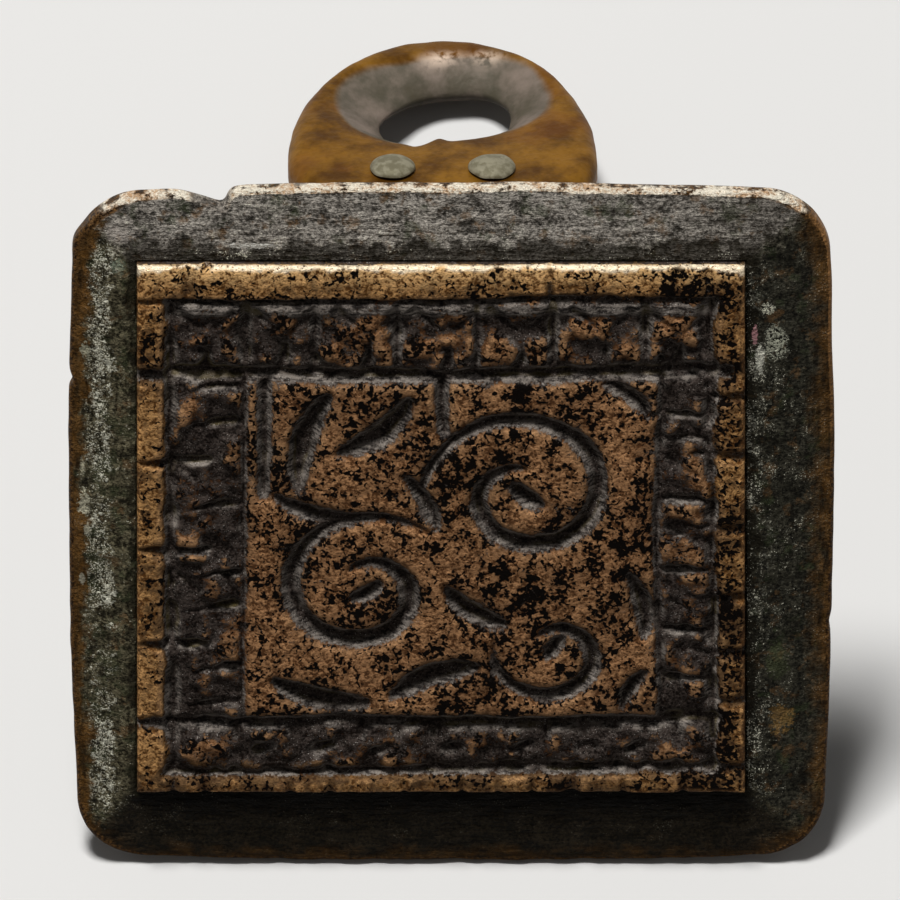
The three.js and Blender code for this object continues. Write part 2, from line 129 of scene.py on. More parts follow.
toward_lamp = (FACE_UP + FACE_OUT * LAMP_LIFT - FACE_RIGHT * LAMP_LEFT).normalized()
lamp_data = bpy.data.lights.new("overhead_lamp", "AREA")
lamp_data.size = LAMP_SIZE
lamp_data.energy = LAMP_POWER
lamp = bpy.data.objects.new("overhead_lamp", lamp_data)
bpy.context.scene.collection.objects.link(lamp)
lamp.location = toward_lamp * LAMP_DISTANCE
lamp.rotation_euler = toward_lamp.to_track_quat("Z", "Y").to_euler()

bpy.context.scene.view_settings.view_transform = "Standard"
print("lamp at", tuple(round(part, 3) for part in lamp.location))

# %% [markdown]
# ## Shader sums as plain expressions
#
# A finish is a tree of nodes. Written out node by node it is long and hard to read, so one
# small class stands for a socket and lets masks be added and multiplied like numbers. A
# second class makes every other kind of node, and a third one is a metal finish, which knows
# the places on the seal in millimetres.


# %% A socket that can be used in sums
class Reading:
    """A socket's output. Sums with numbers or other readings add Math nodes."""

    def __init__(self, tree, socket):
        self.tree = tree
        self.socket = socket

    def sum(self, operation, first, second):
        return self.tree.node("ShaderNodeMath", {"operation": operation}, {0: first, 1: second})

    def __add__(self, other):
        return self.sum("ADD", self, other)

    def __radd__(self, other):
        return self.sum("ADD", other, self)

    def __sub__(self, other):
        return self.sum("SUBTRACT", self, other)

    def __rsub__(self, other):
        return self.sum("SUBTRACT", other, self)

    def __mul__(self, other):
        return self.sum("MULTIPLY", self, other)

    def __rmul__(self, other):
        return self.sum("MULTIPLY", other, self)

    def over(self, other):
        """The larger of the two."""
        return self.sum("MAXIMUM", self, other)

    def gap(self, other):
        """How far the two are apart."""
        return self.sum("ABSOLUTE", self - other, 0.0)


# %% A tree of nodes
class Tree:
    """A tree of nodes, whether the sky's or a finish's."""

    def __init__(self, tree):
        self.nodes = tree.nodes
        self.links = tree.links

    def node(self, kind, settings=None, sockets=None, output=0):
        """Makes any node: its settings first, then its sockets by value or link."""
        made = self.nodes.new(kind)
        for name, value in (settings or {}).items():
            setattr(made, name, value)
        for name, value in (sockets or {}).items():
            self.join(value, made.inputs[name])
        return Reading(self, made.outputs[output])

    def join(self, value, socket):
        """Links a reading to a socket, or sets the socket to a plain value."""
        if isinstance(value, Reading):
            self.links.new(value.socket, socket)
        else:
            socket.default_value = value

    def seen(self):
        """1 to the camera, in reflections and through glass, and 0 to bounced light."""
        shown = self.node("ShaderNodeLightPath", output="Is Camera Ray")
        for ray in ("Is Glossy Ray", "Is Transmission Ray"):
            shown = shown.over(self.node("ShaderNodeLightPath", output=ray))
        return shown


# %% The tree of one finish
class Finish(Tree):
    """One metal finish, with its places in millimetres along the seal's own axes."""

    def __init__(self, name):
        self.material = bpy.data.materials.new(name)
        self.material.use_nodes = True
        super().__init__(self.material.node_tree)
        self.shader = self.nodes["Principled BSDF"]
        lying = self.node("ShaderNodeTexCoord", output="Object")
        to_seal = {"Location": -zero, "Rotation": TURN.to_euler(), "Scale": (1000, 1000, 1000)}
        self.place = self.node("ShaderNodeMapping", sockets={"Vector": lying, **to_seal})

    def vector(self, operation, first, second=(0, 0, 0), scale=1.0):
        """A sum of two vectors, or one vector scaled."""
        sockets = {0: first, 3: scale} if operation == "SCALE" else {0: first, 1: second}
        return self.node("ShaderNodeVectorMath", {"operation": operation}, sockets)

    def axis(self, name):
        """One of the three coordinates, in mm."""
        return self.node("ShaderNodeSeparateXYZ", sockets={0: self.place}, output=name)

    def reading(self, name):
        """A number that was stored on the mesh's points."""
        return self.node("ShaderNodeAttribute", {"attribute_name": name}, output="Fac")

    def grain(self, size, detail=3.0, stretch=(1, 1, 1), roughness=0.5):
        """Cloudy noise from 0 to 1 with lumps of about that size in mm."""
        place = self.vector("MULTIPLY", self.place, tuple(1 / s for s in stretch))
        sockets = {"Vector": place, "Scale": 1 / size, "Detail": detail, "Roughness": roughness}
        return self.node("ShaderNodeTexNoise", sockets=sockets)

    def step(self, value, low, high):
        """0 below low, 1 above high and a soft change between."""
        sockets = {"Value": value, "From Min": low, "From Max": high}
        return self.node("ShaderNodeMapRange", {"interpolation_type": "SMOOTHSTEP"}, sockets)

    def blend(self, mask, under, above):
        """The colour above laid over the one under it where the mask is 1."""
        sockets = {0: mask, 6: under, 7: above}
        return self.node("ShaderNodeMix", {"data_type": "RGBA"}, sockets, output=2)

    def bump(self, depth, height):
        """Fine relief that only the shading shows, with its depth in mm."""
        sockets = {"Strength": 1.0, "Distance": depth / 1000, "Height": height}
        return self.node("ShaderNodeBump", sockets=sockets)

    def set(self, **sockets):
        """Sets the metal's own sockets, by their names with _ for each space."""
        for name, value in sockets.items():
            self.join(value, self.shader.inputs[name.replace("_", " ")])


def shade(red, green, blue):
    """A colour as it looks on a screen, 0 to 255, as the linear one that a shader takes."""
    shares = (red / 255, green / 255, blue / 255)
    linear = [c / 12.92 if c <= 0.04045 else ((c + 0.055) / 1.055) ** 2.4 for c in shares]
    return (*linear, 1.0)


def dress(mesh, finish):
    """Gives a mesh its finish."""
    mesh.materials.append(finish.material)
    print(f"{mesh.name} wears {finish.material.name}, {len(finish.nodes)} nodes")


print("copper brown is", [round(part, 3) for part in shade(141, 110, 84)])

# %% [markdown]
# ## Floor and sky
#
# The seal lies on pale paper under an even sky. Both are pale to the camera and in
# reflections, and darker to bounced light, so that they don't fill the raking shadows. A
# Light Path node tells the kinds of ray apart.

# %% Floor
FLOOR_HALF = 3
PALE = (0.8, 0.79, 0.77, 1)
DULL = (0.08, 0.08, 0.08, 1)  # what bounced light meets

floor_mesh = bpy.data.meshes.new("floor")
floor_corners = [(x * FLOOR_HALF, y * FLOOR_HALF, 0) for x, y in ((-1, -1), (1, -1), (1, 1), (-1, 1))]
floor_mesh.from_pydata(floor_corners, [], [(0, 1, 2, 3)])
floor = bpy.data.objects.new("floor", floor_mesh)
bpy.context.scene.collection.objects.link(floor)

paper = Finish("pale_paper")
paper.set(Base_Color=paper.blend(paper.seen(), DULL, PALE), Roughness=0.9)
dress(floor_mesh, paper)

# %% Sky
SKY_LEVEL = 0.07
BACKGROUND_LEVEL = 0.85

world = bpy.data.worlds.new("studio")
world.use_nodes = True
bpy.context.scene.world = world
sky = Tree(world.node_tree)
levels = {"Value": sky.seen(), "To Min": SKY_LEVEL, "To Max": BACKGROUND_LEVEL}
background = sky.nodes["Background"]
sky.join((1, 1, 1, 1), background.inputs["Color"])
sky.join(sky.node("ShaderNodeMapRange", sockets=levels), background.inputs["Strength"])
print(f"sky: {SKY_LEVEL} as light and {BACKGROUND_LEVEL} as seen")

# %% [markdown]
# ## Helpers for hand-made surfaces
#
# Real old metal is never quite flat or straight. A smooth random field gives that
# unevenness to any set of points, always the same for the same seed. A bowed line draws
# leaves, corners and turned profiles. The last helpers turn a stack of rings into a closed
# mesh, which suits a plate, a shank, a loop and a rivet alike.


# %% Smooth random numbers
LATTICE = 24  # cells along each side of the field, which then repeats


def clouds(points, size, seed):
    """Smooth numbers from -1 to 1 at points in mm, with lumps about that size."""
    lattice = np.random.default_rng(seed).uniform(-1, 1, (LATTICE, LATTICE, LATTICE))
    place = np.asarray(points, float) / size
    cell = np.floor(place).astype(int)
    part = place - cell
    part = part * part * (3 - 2 * part)
    total = np.zeros(place.shape[:-1])
    for corner in product((0, 1), repeat=3):
        at = [(cell[..., k] + corner[k]) % LATTICE for k in range(3)]
        weight = np.ones(place.shape[:-1])
        for k in range(3):
            weight = weight * (part[..., k] if corner[k] else 1 - part[..., k])
        total += weight * lattice[at[0], at[1], at[2]]
    return total


def ease(value, low, high):
    """0 below low, 1 above high and a soft change between, for arrays."""
    t = np.clip((np.asarray(value, float) - low) / (high - low), 0, 1)
    return t * t * (3 - 2 * t)


def bell(away, half_width):
    """1 in the middle, fading to nothing a few half widths away, for arrays."""
    return np.exp(-((away / half_width) ** 2))


# %% A bowed line
def bow(start, control, end, steps):
    """A curve through two ends, drawn towards a control point."""
    share = np.linspace(0, 1, steps)[:, None]
    start, control, end = (np.array(point, float) for point in (start, control, end))
    return (1 - share) ** 2 * start + 2 * share * (1 - share) * control + share**2 * end


# %% Rings into a closed mesh
def ring_faces(rows, columns, closed):
    """Quads between neighbouring rings, and a fan over each end if the stack isn't closed."""
    index = np.arange(rows * columns).reshape(rows, columns)
    beside = np.roll(index, -1, axis=1)
    quads = np.stack([index, beside, np.roll(beside, -1, 0), np.roll(index, -1, 0)], -1)
    faces = quads[: rows if closed else rows - 1].reshape(-1, 4).tolist()
    if not closed:
        first, last = rows * columns, rows * columns + 1
        faces += [(first, b, a) for a, b in zip(index[0], beside[0])]
        faces += [(last, a, b) for a, b in zip(index[-1], beside[-1])]
    return faces


def mesh_from(name, points, faces, readings=None, sharp_angle=40):
    """A smooth closed mesh from points in mm, with numbers stored on its points."""
    mesh = bpy.data.meshes.new(name)
    mesh.from_pydata((np.asarray(points) / 1000).tolist(), [], faces)
    for label, values in (readings or {}).items():
        stored = mesh.attributes.new(label, "FLOAT", "POINT")
        stored.data.foreach_set("value", np.asarray(values, np.float32).ravel())
    work = bmesh.new()
    work.from_mesh(mesh)
    bmesh.ops.recalc_face_normals(work, faces=work.faces)
    work.to_mesh(mesh)
    work.free()
    mesh.shade_smooth()
    mesh.set_sharp_from_angle(angle=math.radians(sharp_angle))
    return mesh


def add_piece(name, mesh, *nodes):
    """Lays a mesh down with the seal, in place of the CAD nodes that it stands for."""
    mesh.transform(LAID_DOWN)
    piece = bpy.data.objects.new(name, mesh)
    bpy.context.scene.collection.objects.link(piece)
    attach(piece, "root")
    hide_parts(*nodes)
    print(f"{name}: {len(mesh.polygons)} faces")
    return piece


def stacked(rings, closed):
    """The points of a stack of rings, with the two middles of its end fans added if it is open."""
    rings = np.asarray(rings, float)
    points = rings.reshape(-1, 3)
    if not closed:
        points = np.vstack([points, rings[0].mean(0), rings[-1].mean(0)])
    return points


# %% [markdown]
# ## The die
#
# The die is the square tablet that prints. An engraver cut it by hand: a plain strip round
# the edge, frame lines, a band of bars and wedges, and a scroll in the field. Years of use
# rounded the crests. It could be carved with booleans, but hand-cut strokes have soft
# shoulders and uneven floors, so the face is a fine grid of heights instead. Each stroke
# lowers the grid by how near a point is to the stroke's line.

# %% The grid of the face
DIE_HALF_TOP, DIE_HALF_BOTTOM, DIE_HALF_HEIGHT = 11.1, 11.25, 11.175
DIE_BACK_Z = 0.3
EDGE_LINES = np.array([0, 0.03, 0.07, 0.12, 0.18, 0.25])
GRID_LINES = 290


def grid_lines(half):
    """Lines across the face from -half to half, close together at both edges."""
    inner = np.linspace(EDGE_LINES[-1] + 0.07, 2 * half - EDGE_LINES[-1] - 0.07, GRID_LINES)
    return np.concatenate([EDGE_LINES, inner, 2 * half - EDGE_LINES[::-1]]) - half


line_x = grid_lines(DIE_HALF_BOTTOM)
line_y = grid_lines(DIE_HALF_HEIGHT)
face_x, face_y = np.meshgrid(line_x, line_y)
face_points = np.stack([face_x, face_y, 0 * face_x], -1)
cut_x = face_x + 0.06 * clouds(face_points, 1.9, 1) + 0.025 * clouds(face_points, 0.55, 2)
cut_y = face_y + 0.06 * clouds(face_points, 1.9, 3) + 0.025 * clouds(face_points, 0.55, 4)
dug = np.zeros_like(face_x)
print("face grid:", face_x.shape)


# %% One cut of the engraver's tool
CUT_REACH = 1.2  # how far from its points a cut is looked for, in mm


def cut(points, width, depth=0.34, wall=0.2):
    """Lowers the face along flat points from the die's middle; the width may change along it."""
    points = np.asarray(points, float)
    widths = np.broadcast_to(width, len(points))
    low_x, low_y = points.min(0) - CUT_REACH
    high_x, high_y = points.max(0) + CUT_REACH
    rows = slice(*np.searchsorted(line_y, (low_y, high_y)))
    columns = slice(*np.searchsorted(line_x, (low_x, high_x)))
    x, y = cut_x[rows, columns], cut_y[rows, columns]
    outside = np.full(x.shape, 9.0)
    for (x0, y0), (x1, y1), w0, w1 in zip(points, points[1:], widths, widths[1:]):
        dx, dy = x1 - x0, y1 - y0
        along = np.clip(((x - x0) * dx + (y - y0) * dy) / (dx * dx + dy * dy + 1e-9), 0, 1)
        away = np.hypot(x - x0 - along * dx, y - y0 - along * dy)
        outside = np.minimum(outside, away - (w0 + (w1 - w0) * along) / 2)
    depth_here = depth * ease(-outside, -0.07, wall)
    dug[rows, columns] = np.maximum(dug[rows, columns], depth_here)


def across(x, bottom, top, width=0.3, depth=0.3):
    """An upright bar."""
    cut([(x, bottom), (x, top)], width, depth)


def show_cuts(step):
    """Says how much of the face is cut after a step."""
    print(f"{step}: {(dug > 0.1).mean():.0%} of the face is cut, up to {dug.max():.2f} mm deep")


# %% Frame lines and the bands between them
LINE = {"left": -7.5, "right": 8.25, "bottom": -8.2, "top": 7.0}
FIELD = {"left": -7.15, "right": 7.9, "bottom": -7.8, "top": 6.6}


def wavy(from_point, to_point, width, depth, seed, wall=0.32):
    """A long line as a hand draws it: it sways a little and its width changes."""
    steps, sway = 26, 0.07
    share = np.linspace(0, 1, steps)
    line = np.outer(1 - share, from_point) + np.outer(share, to_point)
    random = np.random.default_rng(seed)
    drift = np.convolve(random.normal(0, 1, steps + 8), np.ones(9) / 4, "valid") * sway
    side = np.array([to_point[1] - from_point[1], from_point[0] - to_point[0]], float)
    line += np.outer(drift, side / np.linalg.norm(side))
    cut(line, width * (1 + 0.14 * random.normal(0, 1, steps).clip(-1, 1)), depth, wall)


wavy((-11.3, 9.66), (10.4, 9.76), 0.34, 0.32, 11, 0.24)
wavy((-11.3, 6.58), (10.6, 6.64), 0.95, 0.5, 12, 0.55)
wavy((-11.3, -8.18), (10.3, -8.02), 0.78, 0.46, 13, 0.5)
wavy((-10.2, -10.36), (11.3, -10.06), 0.7, 0.42, 14, 0.5)
wavy((-9.98, 9.4), (-9.95, -10.4), 0.6, 0.34, 15)
wavy((-7.3, 9.4), (-7.35, -8.2), 0.36, 0.42, 16)
wavy((8.08, 7.2), (8.05, -8.1), 0.46, 0.42, 17)
wavy((10.05, 9.6), (10.1, -10.2), 0.5, 0.32, 18)
show_cuts("frame lines")

# %% [markdown]
# The bands hold a row of motifs: an upright bar, then a wedge that rises from the inner
# line, and a shallow scoop on each side of it, so that the metal left standing looks like a
# row of crosses. The same row turns round the corners and gets rougher on the sides.

# %% Bars and wedges of the top band
for x, width in ((-7.2, 0.5), (-4.65, 0.42), (-1.6, 0.4), (1.3, 0.36), (4.1, 0.5), (7.6, 0.45), (9.6, 0.4)):
    across(x, 6.9, 9.5, width, 0.3)
for x, height in ((-8.7, 0.8), (-5.8, 1.3), (-2.7, 1.2), (0.18, 1.1), (2.9, 1.2), (6.05, 1.3), (8.8, 1.0)):
    cut([(x, 6.9), (x + 0.1, 6.9 + height)], (0.66, 0.1), 0.32)
    cut([(x + 0.02, 6.9 + height * 0.6), (x - 0.4, 6.9 + height * 1.2)], (0.3, 0.08), 0.26)
    cut([(x - 1.1, 9.3), (x - 0.12, 8.45)], (0.5, 0.16), 0.2)
    cut([(x + 1.05, 9.25), (x + 0.2, 8.4)], (0.46, 0.16), 0.18)
for x, width, depth in (
    (-9.3, 0.6, 0.16),
    (-4.7, 0.4, 0.12),
    (-1.6, 0.12, 0.08),
    (1.3, 0.16, 0.12),
    (4.0, 0.36, 0.24),
    (8.65, 0.3, 0.14),
    (9.85, 0.4, 0.18),
):
    across(x, 9.7, 11.0, width, depth)
cut([(-8.7, 11.5), (-8.62, 11.2)], (0.9, 0.5), 0.34)
cut([(4.02, 11.5), (4.0, 11.2)], (0.5, 0.3), 0.26)
show_cuts("top band")

# %% Bars and wedges of the side bands
for y, width in ((2.9, 0.5), (-0.85, 0.55), (-4.85, 0.62)):
    cut([(-11.4, y), (-10.3, y), (-8.6, y + 0.03)], (0.08, width, 0.3), 0.34)
for y in (6.1, 4.6, 1.15, -1.8, -3.2, -5.8, -7.3):
    cut([(-7.4, y), (-8.3, y - 0.05), (-9.3, y - 0.25)], (0.46, 0.36, 0.1), 0.28)
for y in (5.4, 2.0, -2.6, -6.3):
    cut([(-9.75, y + 0.7), (-8.9, y)], (0.34, 0.14), 0.2)
for y, width in ((4.9, 0.34), (3.9, 0.3), (1.35, 0.42), (-1.6, 0.4), (-4.15, 0.42), (-6.25, 0.36)):
    cut([(8.1, y), (9.1, y - 0.03), (10.2, y - 0.1)], (0.4, width, 0.2), 0.32)
for y in (5.7, 3.3, 0.2, -2.7, -5.1, -7.2):
    cut([(11.4, y), (10.2, y - 0.1), (9.2, y)], (0.56, 0.44, 0.1), 0.26)
for y in (4.3, 2.5, -0.4, -3.4):
    cut([(8.4, y + 0.5), (9.5, y - 0.1)], (0.32, 0.12), 0.18)
show_cuts("side bands")

# %% Dents of the bottom band and nicks of the bottom strip
for x in (-9.1, -7.6, -5.6, -4.4, -3.0, -1.6, -0.3, 1.0, 2.4, 3.85, 5.2, 6.4, 7.5, 8.7):
    cut([(x, -8.2), (x + 0.06, -8.8)], (0.5, 0.24), 0.24)
for x in (-6.6, -4.45, -2.2, 0.4, 2.9, 5.3, 7.1):
    cut([(x - 0.2, -9.4), (x + 0.3, -9.2)], 0.5, 0.24)
for x, width in (
    (-9.9, 0.4),
    (-8.7, 0.3),
    (-5.6, 0.34),
    (-4.1, 0.3),
    (-1.35, 0.26),
    (0.8, 0.3),
    (2.1, 0.22),
    (3.4, 0.26),
    (4.8, 0.6),
    (6.7, 0.24),
    (8.95, 0.34),
):
    across(x, -11.3, -10.6, width, 0.22)
show_cuts("bottom band")

# %% [markdown]
# The field holds a plain scroll of three volutes with leaves round them. A burin stroke
# starts thin, swells and ends thin, which the width along each line follows.

# %% The scroll in the field
VOLUTES = (  # x, y, radius from, radius to, start angle, sweep, width
    (0.36, 0.30, 0.52, 0.14, -160, -480, 1.0),
    (-0.43, -0.26, 0.46, 0.13, 40, 450, 1.0),
    (0.50, -0.64, 0.30, 0.12, 165, 330, 0.9),
)
LEAVES = (  # x, y, angle, length, bend, width
    (-0.66, 0.60, 75, 0.62, 0.20, 1.25),
    (-0.38, 0.70, 42, 0.52, -0.20, 1.15),
    (-0.66, 0.24, 165, 0.46, 0.24, 0.9),
    (-0.16, 0.24, -62, 0.40, 0.20, 0.9),
    (-0.08, -0.82, 22, 0.50, 0.22, 1.25),
    (-0.64, -0.86, -16, 0.52, -0.20, 1.2),
    (0.90, -0.36, 100, 0.42, -0.20, 1.0),
    (0.12, -0.36, -38, 0.40, -0.22, 1.05),
    (0.86, 0.84, -42, 0.32, 0.25, 0.9),
    (0.90, -0.86, 62, 0.28, 0.20, 0.8),
    (0.38, 0.30, 140, 0.22, 0.20, 1.0),
    (-0.42, -0.26, 35, 0.20, -0.20, 0.9),
    (0.52, -0.62, 60, 0.16, 0.20, 0.8),
)
UPRIGHTS = ((-0.92, 0.30, 0.94), (-0.04, 0.66, 0.96))
STROKE_TIP = 0.16
field_middle = np.array([(FIELD["left"] + FIELD["right"]) / 2, (FIELD["bottom"] + FIELD["top"]) / 2])
field_half = np.array([(FIELD["right"] - FIELD["left"]) / 2, (FIELD["top"] - FIELD["bottom"]) / 2])


def stroke(shares, width):
    """A swelling stroke through points given as shares of the field's half sizes."""
    swell = np.sin(np.pi * np.linspace(0, 1, len(shares))) ** 0.5
    cut(field_middle + shares * field_half, STROKE_TIP + (width - STROKE_TIP) * swell, 0.44, 0.46)


for x, y, wide, narrow, start, sweep, width in VOLUTES:
    share = np.linspace(0, 1, 60)
    angle = np.radians(start + sweep * share)
    radius = wide + (narrow - wide) * share
    stroke(np.stack([x + radius * np.cos(angle), y + radius * np.sin(angle)], 1), width)
for x, y, angle, length, bend, width in LEAVES:
    reach = np.array([math.cos(math.radians(angle)), math.sin(math.radians(angle))]) * length / 2
    middle = np.array([x, y])
    control = middle + 2 * bend * np.array([-reach[1], reach[0]])
    stroke(bow(middle - reach, control, middle + reach, 16), width)
for x, bottom, top in UPRIGHTS:
    ends = np.array([(x, bottom), (x, top)])
    cut(field_middle + ends * field_half, (0.62, 0.72), 0.42, 0.34)
show_cuts("scroll")

# %% [markdown]
# Years of use rounded the edges and crests, and left the floors of the cuts rough. That is
# added to the grid of heights here. The same grids give the finish its masks: how deep a
# point lies, where it stands proud, where a wall is steep and where the edge is worn bare.


# %% Wear and unevenness of the face
def soften(values, passes):
    """Smooths a grid of numbers, more with each pass."""
    for _ in range(passes):
        padded = np.pad(values, 1, mode="edge")
        beside = padded[:-2, 1:-1] + padded[2:, 1:-1] + padded[1:-1, :-2] + padded[1:-1, 2:]
        values = (beside + 4 * padded[1:-1, 1:-1]) / 8
    return values


inside_line = np.minimum.reduce([
    face_x - LINE["left"],
    LINE["right"] - face_x,
    face_y - LINE["bottom"],
    LINE["top"] - face_y,
])
in_band = 1 - ease(inside_line, -0.2, 0.2)
strip = ease(np.maximum.reduce([np.abs(face_x) - 10.25, face_y - 9.8, -face_y - 10.45]), -0.1, 0.1)
in_band = in_band * (1 - strip)
lumps = clouds(face_points, 0.85, 21) * 0.6 + clouds(face_points, 0.38, 22) * 0.4
from_middle = np.maximum(np.abs(face_x), np.abs(face_y))
cuts = 0.8 * soften(dug, 1) + 0.34 * soften(dug * (1 - ease(from_middle, 9.1, 9.5)), 36)
under_line = ease(face_y + 0.1 * lumps, 8.95, 9.25) * (1 - ease(face_y, 9.55, 9.65))
under_line *= ease(10.0 - np.abs(face_x), 0, 0.3)
cuts += 0.05 * ease(lumps, 0, 0.7) + in_band * 0.2 * ease(lumps, -0.6, 0.45) * (1 - 0.75 * under_line)
floor_rough = 0.06 * clouds(face_points, 0.3, 24) * ease(dug, 0.05, 0.25)

darker_sides = in_band * ease(6.9 - face_y, 0, 0.6) * 0.06
edge_gap = np.minimum(DIE_HALF_HEIGHT - np.abs(face_y), DIE_HALF_BOTTOM - np.abs(face_x))
dome = 0.04 * (1 + clouds(face_points, 5.5, 23)) * (1 - 0.5 * strip)
dome += 0.05 * np.clip(1 - edge_gap / 1.1, 0, 1) ** 2
dome += 0.06 * np.clip(1 - (DIE_HALF_HEIGHT - face_y) / 0.9, 0, 1) ** 2
edge_wear = 0.14 + 0.06 * clouds(face_points, 0.9, 26)
into_edge = np.clip(edge_wear - edge_gap, 0, None)
dome += edge_wear - np.sqrt(np.clip(edge_wear**2 - into_edge**2, 0, None))
height = floor_rough + 0.008 * clouds(face_points, 0.16, 25) - cuts - dome
ridge = np.clip((height + dome - soften(height + dome, 40)) / 0.1, -1, 1)
ragged = 0.1 * clouds(face_points, 0.5, 27) + 0.06 * clouds(face_points, 0.18, 28)
bare_edge = ease(0.21 - edge_gap + ragged, 0, 0.14)
bare_edge = bare_edge * (1 - ease(soften(dug, 2), 0.08, 0.2))
slope = np.hypot(*np.gradient(soften(height, 1), line_y, line_x))
steep = np.maximum(ease(slope, 0.45, 1.3) * ease(cuts, 0.06, 0.16), 0.85 * under_line)
print("face unevenness:", height.min().round(3), "to", height.max().round(3))

# %% The die's mesh
up_share = (face_y + DIE_HALF_HEIGHT) / (2 * DIE_HALF_HEIGHT)
die_half = DIE_HALF_BOTTOM + (DIE_HALF_TOP - DIE_HALF_BOTTOM) * up_share
top = np.stack([DIE_X + face_x / DIE_HALF_BOTTOM * die_half, DIE_Y + face_y, FACE_Z + height], -1)
rows, columns = face_x.shape
index = np.arange(rows * columns).reshape(rows, columns)
rim = np.concatenate([index[0, :-1], index[:-1, -1], index[-1, :0:-1], index[:0:-1, 0]])
top_points = top.reshape(-1, 3)
rim_points = top_points[rim]
side_levels = np.array([1.35, 1.2, 1.0, 0.75, 0.5, DIE_BACK_Z])
side = [np.column_stack([rim_points[:, :2], np.minimum(rim_points[:, 2] - 0.02, z)]) for z in side_levels]
middle = np.array([[DIE_X, DIE_Y, DIE_BACK_Z]])
die_points = np.vstack([top_points, *side, middle])
quads = np.stack([index[:-1, :-1], index[:-1, 1:], index[1:, 1:], index[1:, :-1]], -1).reshape(-1, 4)
die_faces = quads.tolist()
above = rim
for level_number in range(len(side_levels)):
    below = rows * columns + level_number * len(rim) + np.arange(len(rim))
    die_faces += np.stack([above, below, np.roll(below, -1), np.roll(above, -1)], -1).tolist()
    above = below
die_faces += [(a, len(die_points) - 1, b) for a, b in zip(above, np.roll(above, -1))]


def with_sides(on_face, first_ring, lower):
    """A number for every point: on the face, on the first ring down the side and lower."""
    rings = [first_ring] + [lower] * (len(side_levels) - 1)
    return np.concatenate([on_face.ravel(), np.repeat(rings, len(rim)), [lower]])


die_readings = {
    "sunk": with_sides(cuts + darker_sides + 0.2 * under_line, 0.12, 0.3),
    "ridge": with_sides(ridge, 0.0, 0.0),
    "steep": with_sides(steep, 0.0, 0.0),
    "edge": with_sides(bare_edge, 0.3, 0.0),
}
die_mesh = mesh_from("die", die_points, die_faces, die_readings, sharp_angle=60)
add_piece("die", die_mesh, "die_plate")

# %% [markdown]
# ## The bevelled plate
#
# The plate is one cast block: a flat bevel runs down from the die on all four sides to a
# worn rim, and a low pyramid rises on the back to a flat seat for the handle. Seen in section
# it is one closed line, so the mesh is a stack of rings that passes over the bevel, round the
# rim, up the back, through the square hole for the tenon and out over the floor of the
# recess, back to where it began. The rim gets a file-cut notch and the dents of long use.

# %% Outlines of the plate
PLATE_HALF = (13.85, 14.1)
PLATE_CORNER = 2.6
SIDE_BULGE = 0.22
SEAM = 0.02
LEDGE = 0.2
BEVEL_TOP, RIM_TOP = 1.1, 0.6
SEAT_Z = -1.8
RECESS_FLOOR_Z = -0.1
AROUND = 900


def rounded_square(half_x, half_y, corner, bulge=0.0):
    """A square outline with round corners and slightly swollen sides, as dense flat points."""
    points = []
    for turn in range(4):
        along, out = (half_y, half_x) if turn % 2 == 0 else (half_x, half_y)
        share = np.linspace(-1, 1, 60)
        straight = np.stack([out + bulge * (1 - share**2), share * (along - corner)], 1)
        angle = np.linspace(0, math.pi / 2, 24)[1:-1]
        bend = np.stack([out - corner + corner * np.cos(angle), along - corner + corner * np.sin(angle)], 1)
        turned = np.vstack([straight, bend])
        for _ in range(turn):
            turned = np.stack([-turned[:, 1], turned[:, 0]], 1)
        points.append(turned)
    return np.vstack(points)


def die_outline(margin):
    """The die's outline, grown by a margin, as dense flat points."""
    top_half, bottom_half = DIE_HALF_TOP + margin, DIE_HALF_BOTTOM + margin
    high, low = DIE_HALF_HEIGHT + margin, -DIE_HALF_HEIGHT - margin
    corners = np.array([(bottom_half, low), (top_half, high), (-top_half, high), (-bottom_half, low)])
    share = np.linspace(0, 1, 80, endpoint=False)[:, None]
    sides = [a + (b - a) * share for a, b in zip(corners, np.roll(corners, -1, 0))]
    return np.vstack(sides) + (DIE_X, DIE_Y)


corner_angles = [math.atan2(y, x) for x, y in die_outline(SEAM)[::80]]
directions = np.sort(np.concatenate([np.linspace(-math.pi, math.pi, AROUND, endpoint=False), corner_angles]))


def on_rays(outline):
    """An outline sampled where the rays from the plate's middle cross it."""
    angle = np.arctan2(outline[:, 1], outline[:, 0])
    order = np.argsort(angle)
    radius = np.interp(directions, angle[order], np.hypot(*outline.T)[order], period=2 * math.pi)
    return np.stack([radius * np.cos(directions), radius * np.sin(directions)], 1)


print("plate rings have", len(directions), "points")

# %% The rim's dents, its notch and the bevel's height
NOTCH_X, NOTCH_DEPTH, NOTCH_HALF = -8.78, 0.74, 0.52


def dented(ring, amount=1.0):
    """Pulls a rim outline in where it is notched, nicked or worn."""
    x, y = ring.T
    place = np.column_stack([x, y, 0 * x])
    inward = 0.045 * clouds(place, 2.6, 31) + 0.02 * clouds(place, 0.8, 32)
    on_top = ease(y, 12, 13)
    inward += on_top * (NOTCH_DEPTH * bell(x - NOTCH_X, NOTCH_HALF))
    inward += on_top * (0.14 * ease(-x, 8.6, 9.6) + 0.2 * bell(x + 9.5, 0.45))
    inward += 0.16 * bell(x + 14, 1) * bell(y - 6.3, 0.28)
    inward += 0.1 * bell(x - 14, 1) * bell(y + 4.1, 0.4)
    length = np.hypot(x, y)
    return ring * (1 - amount * inward / length)[:, None]


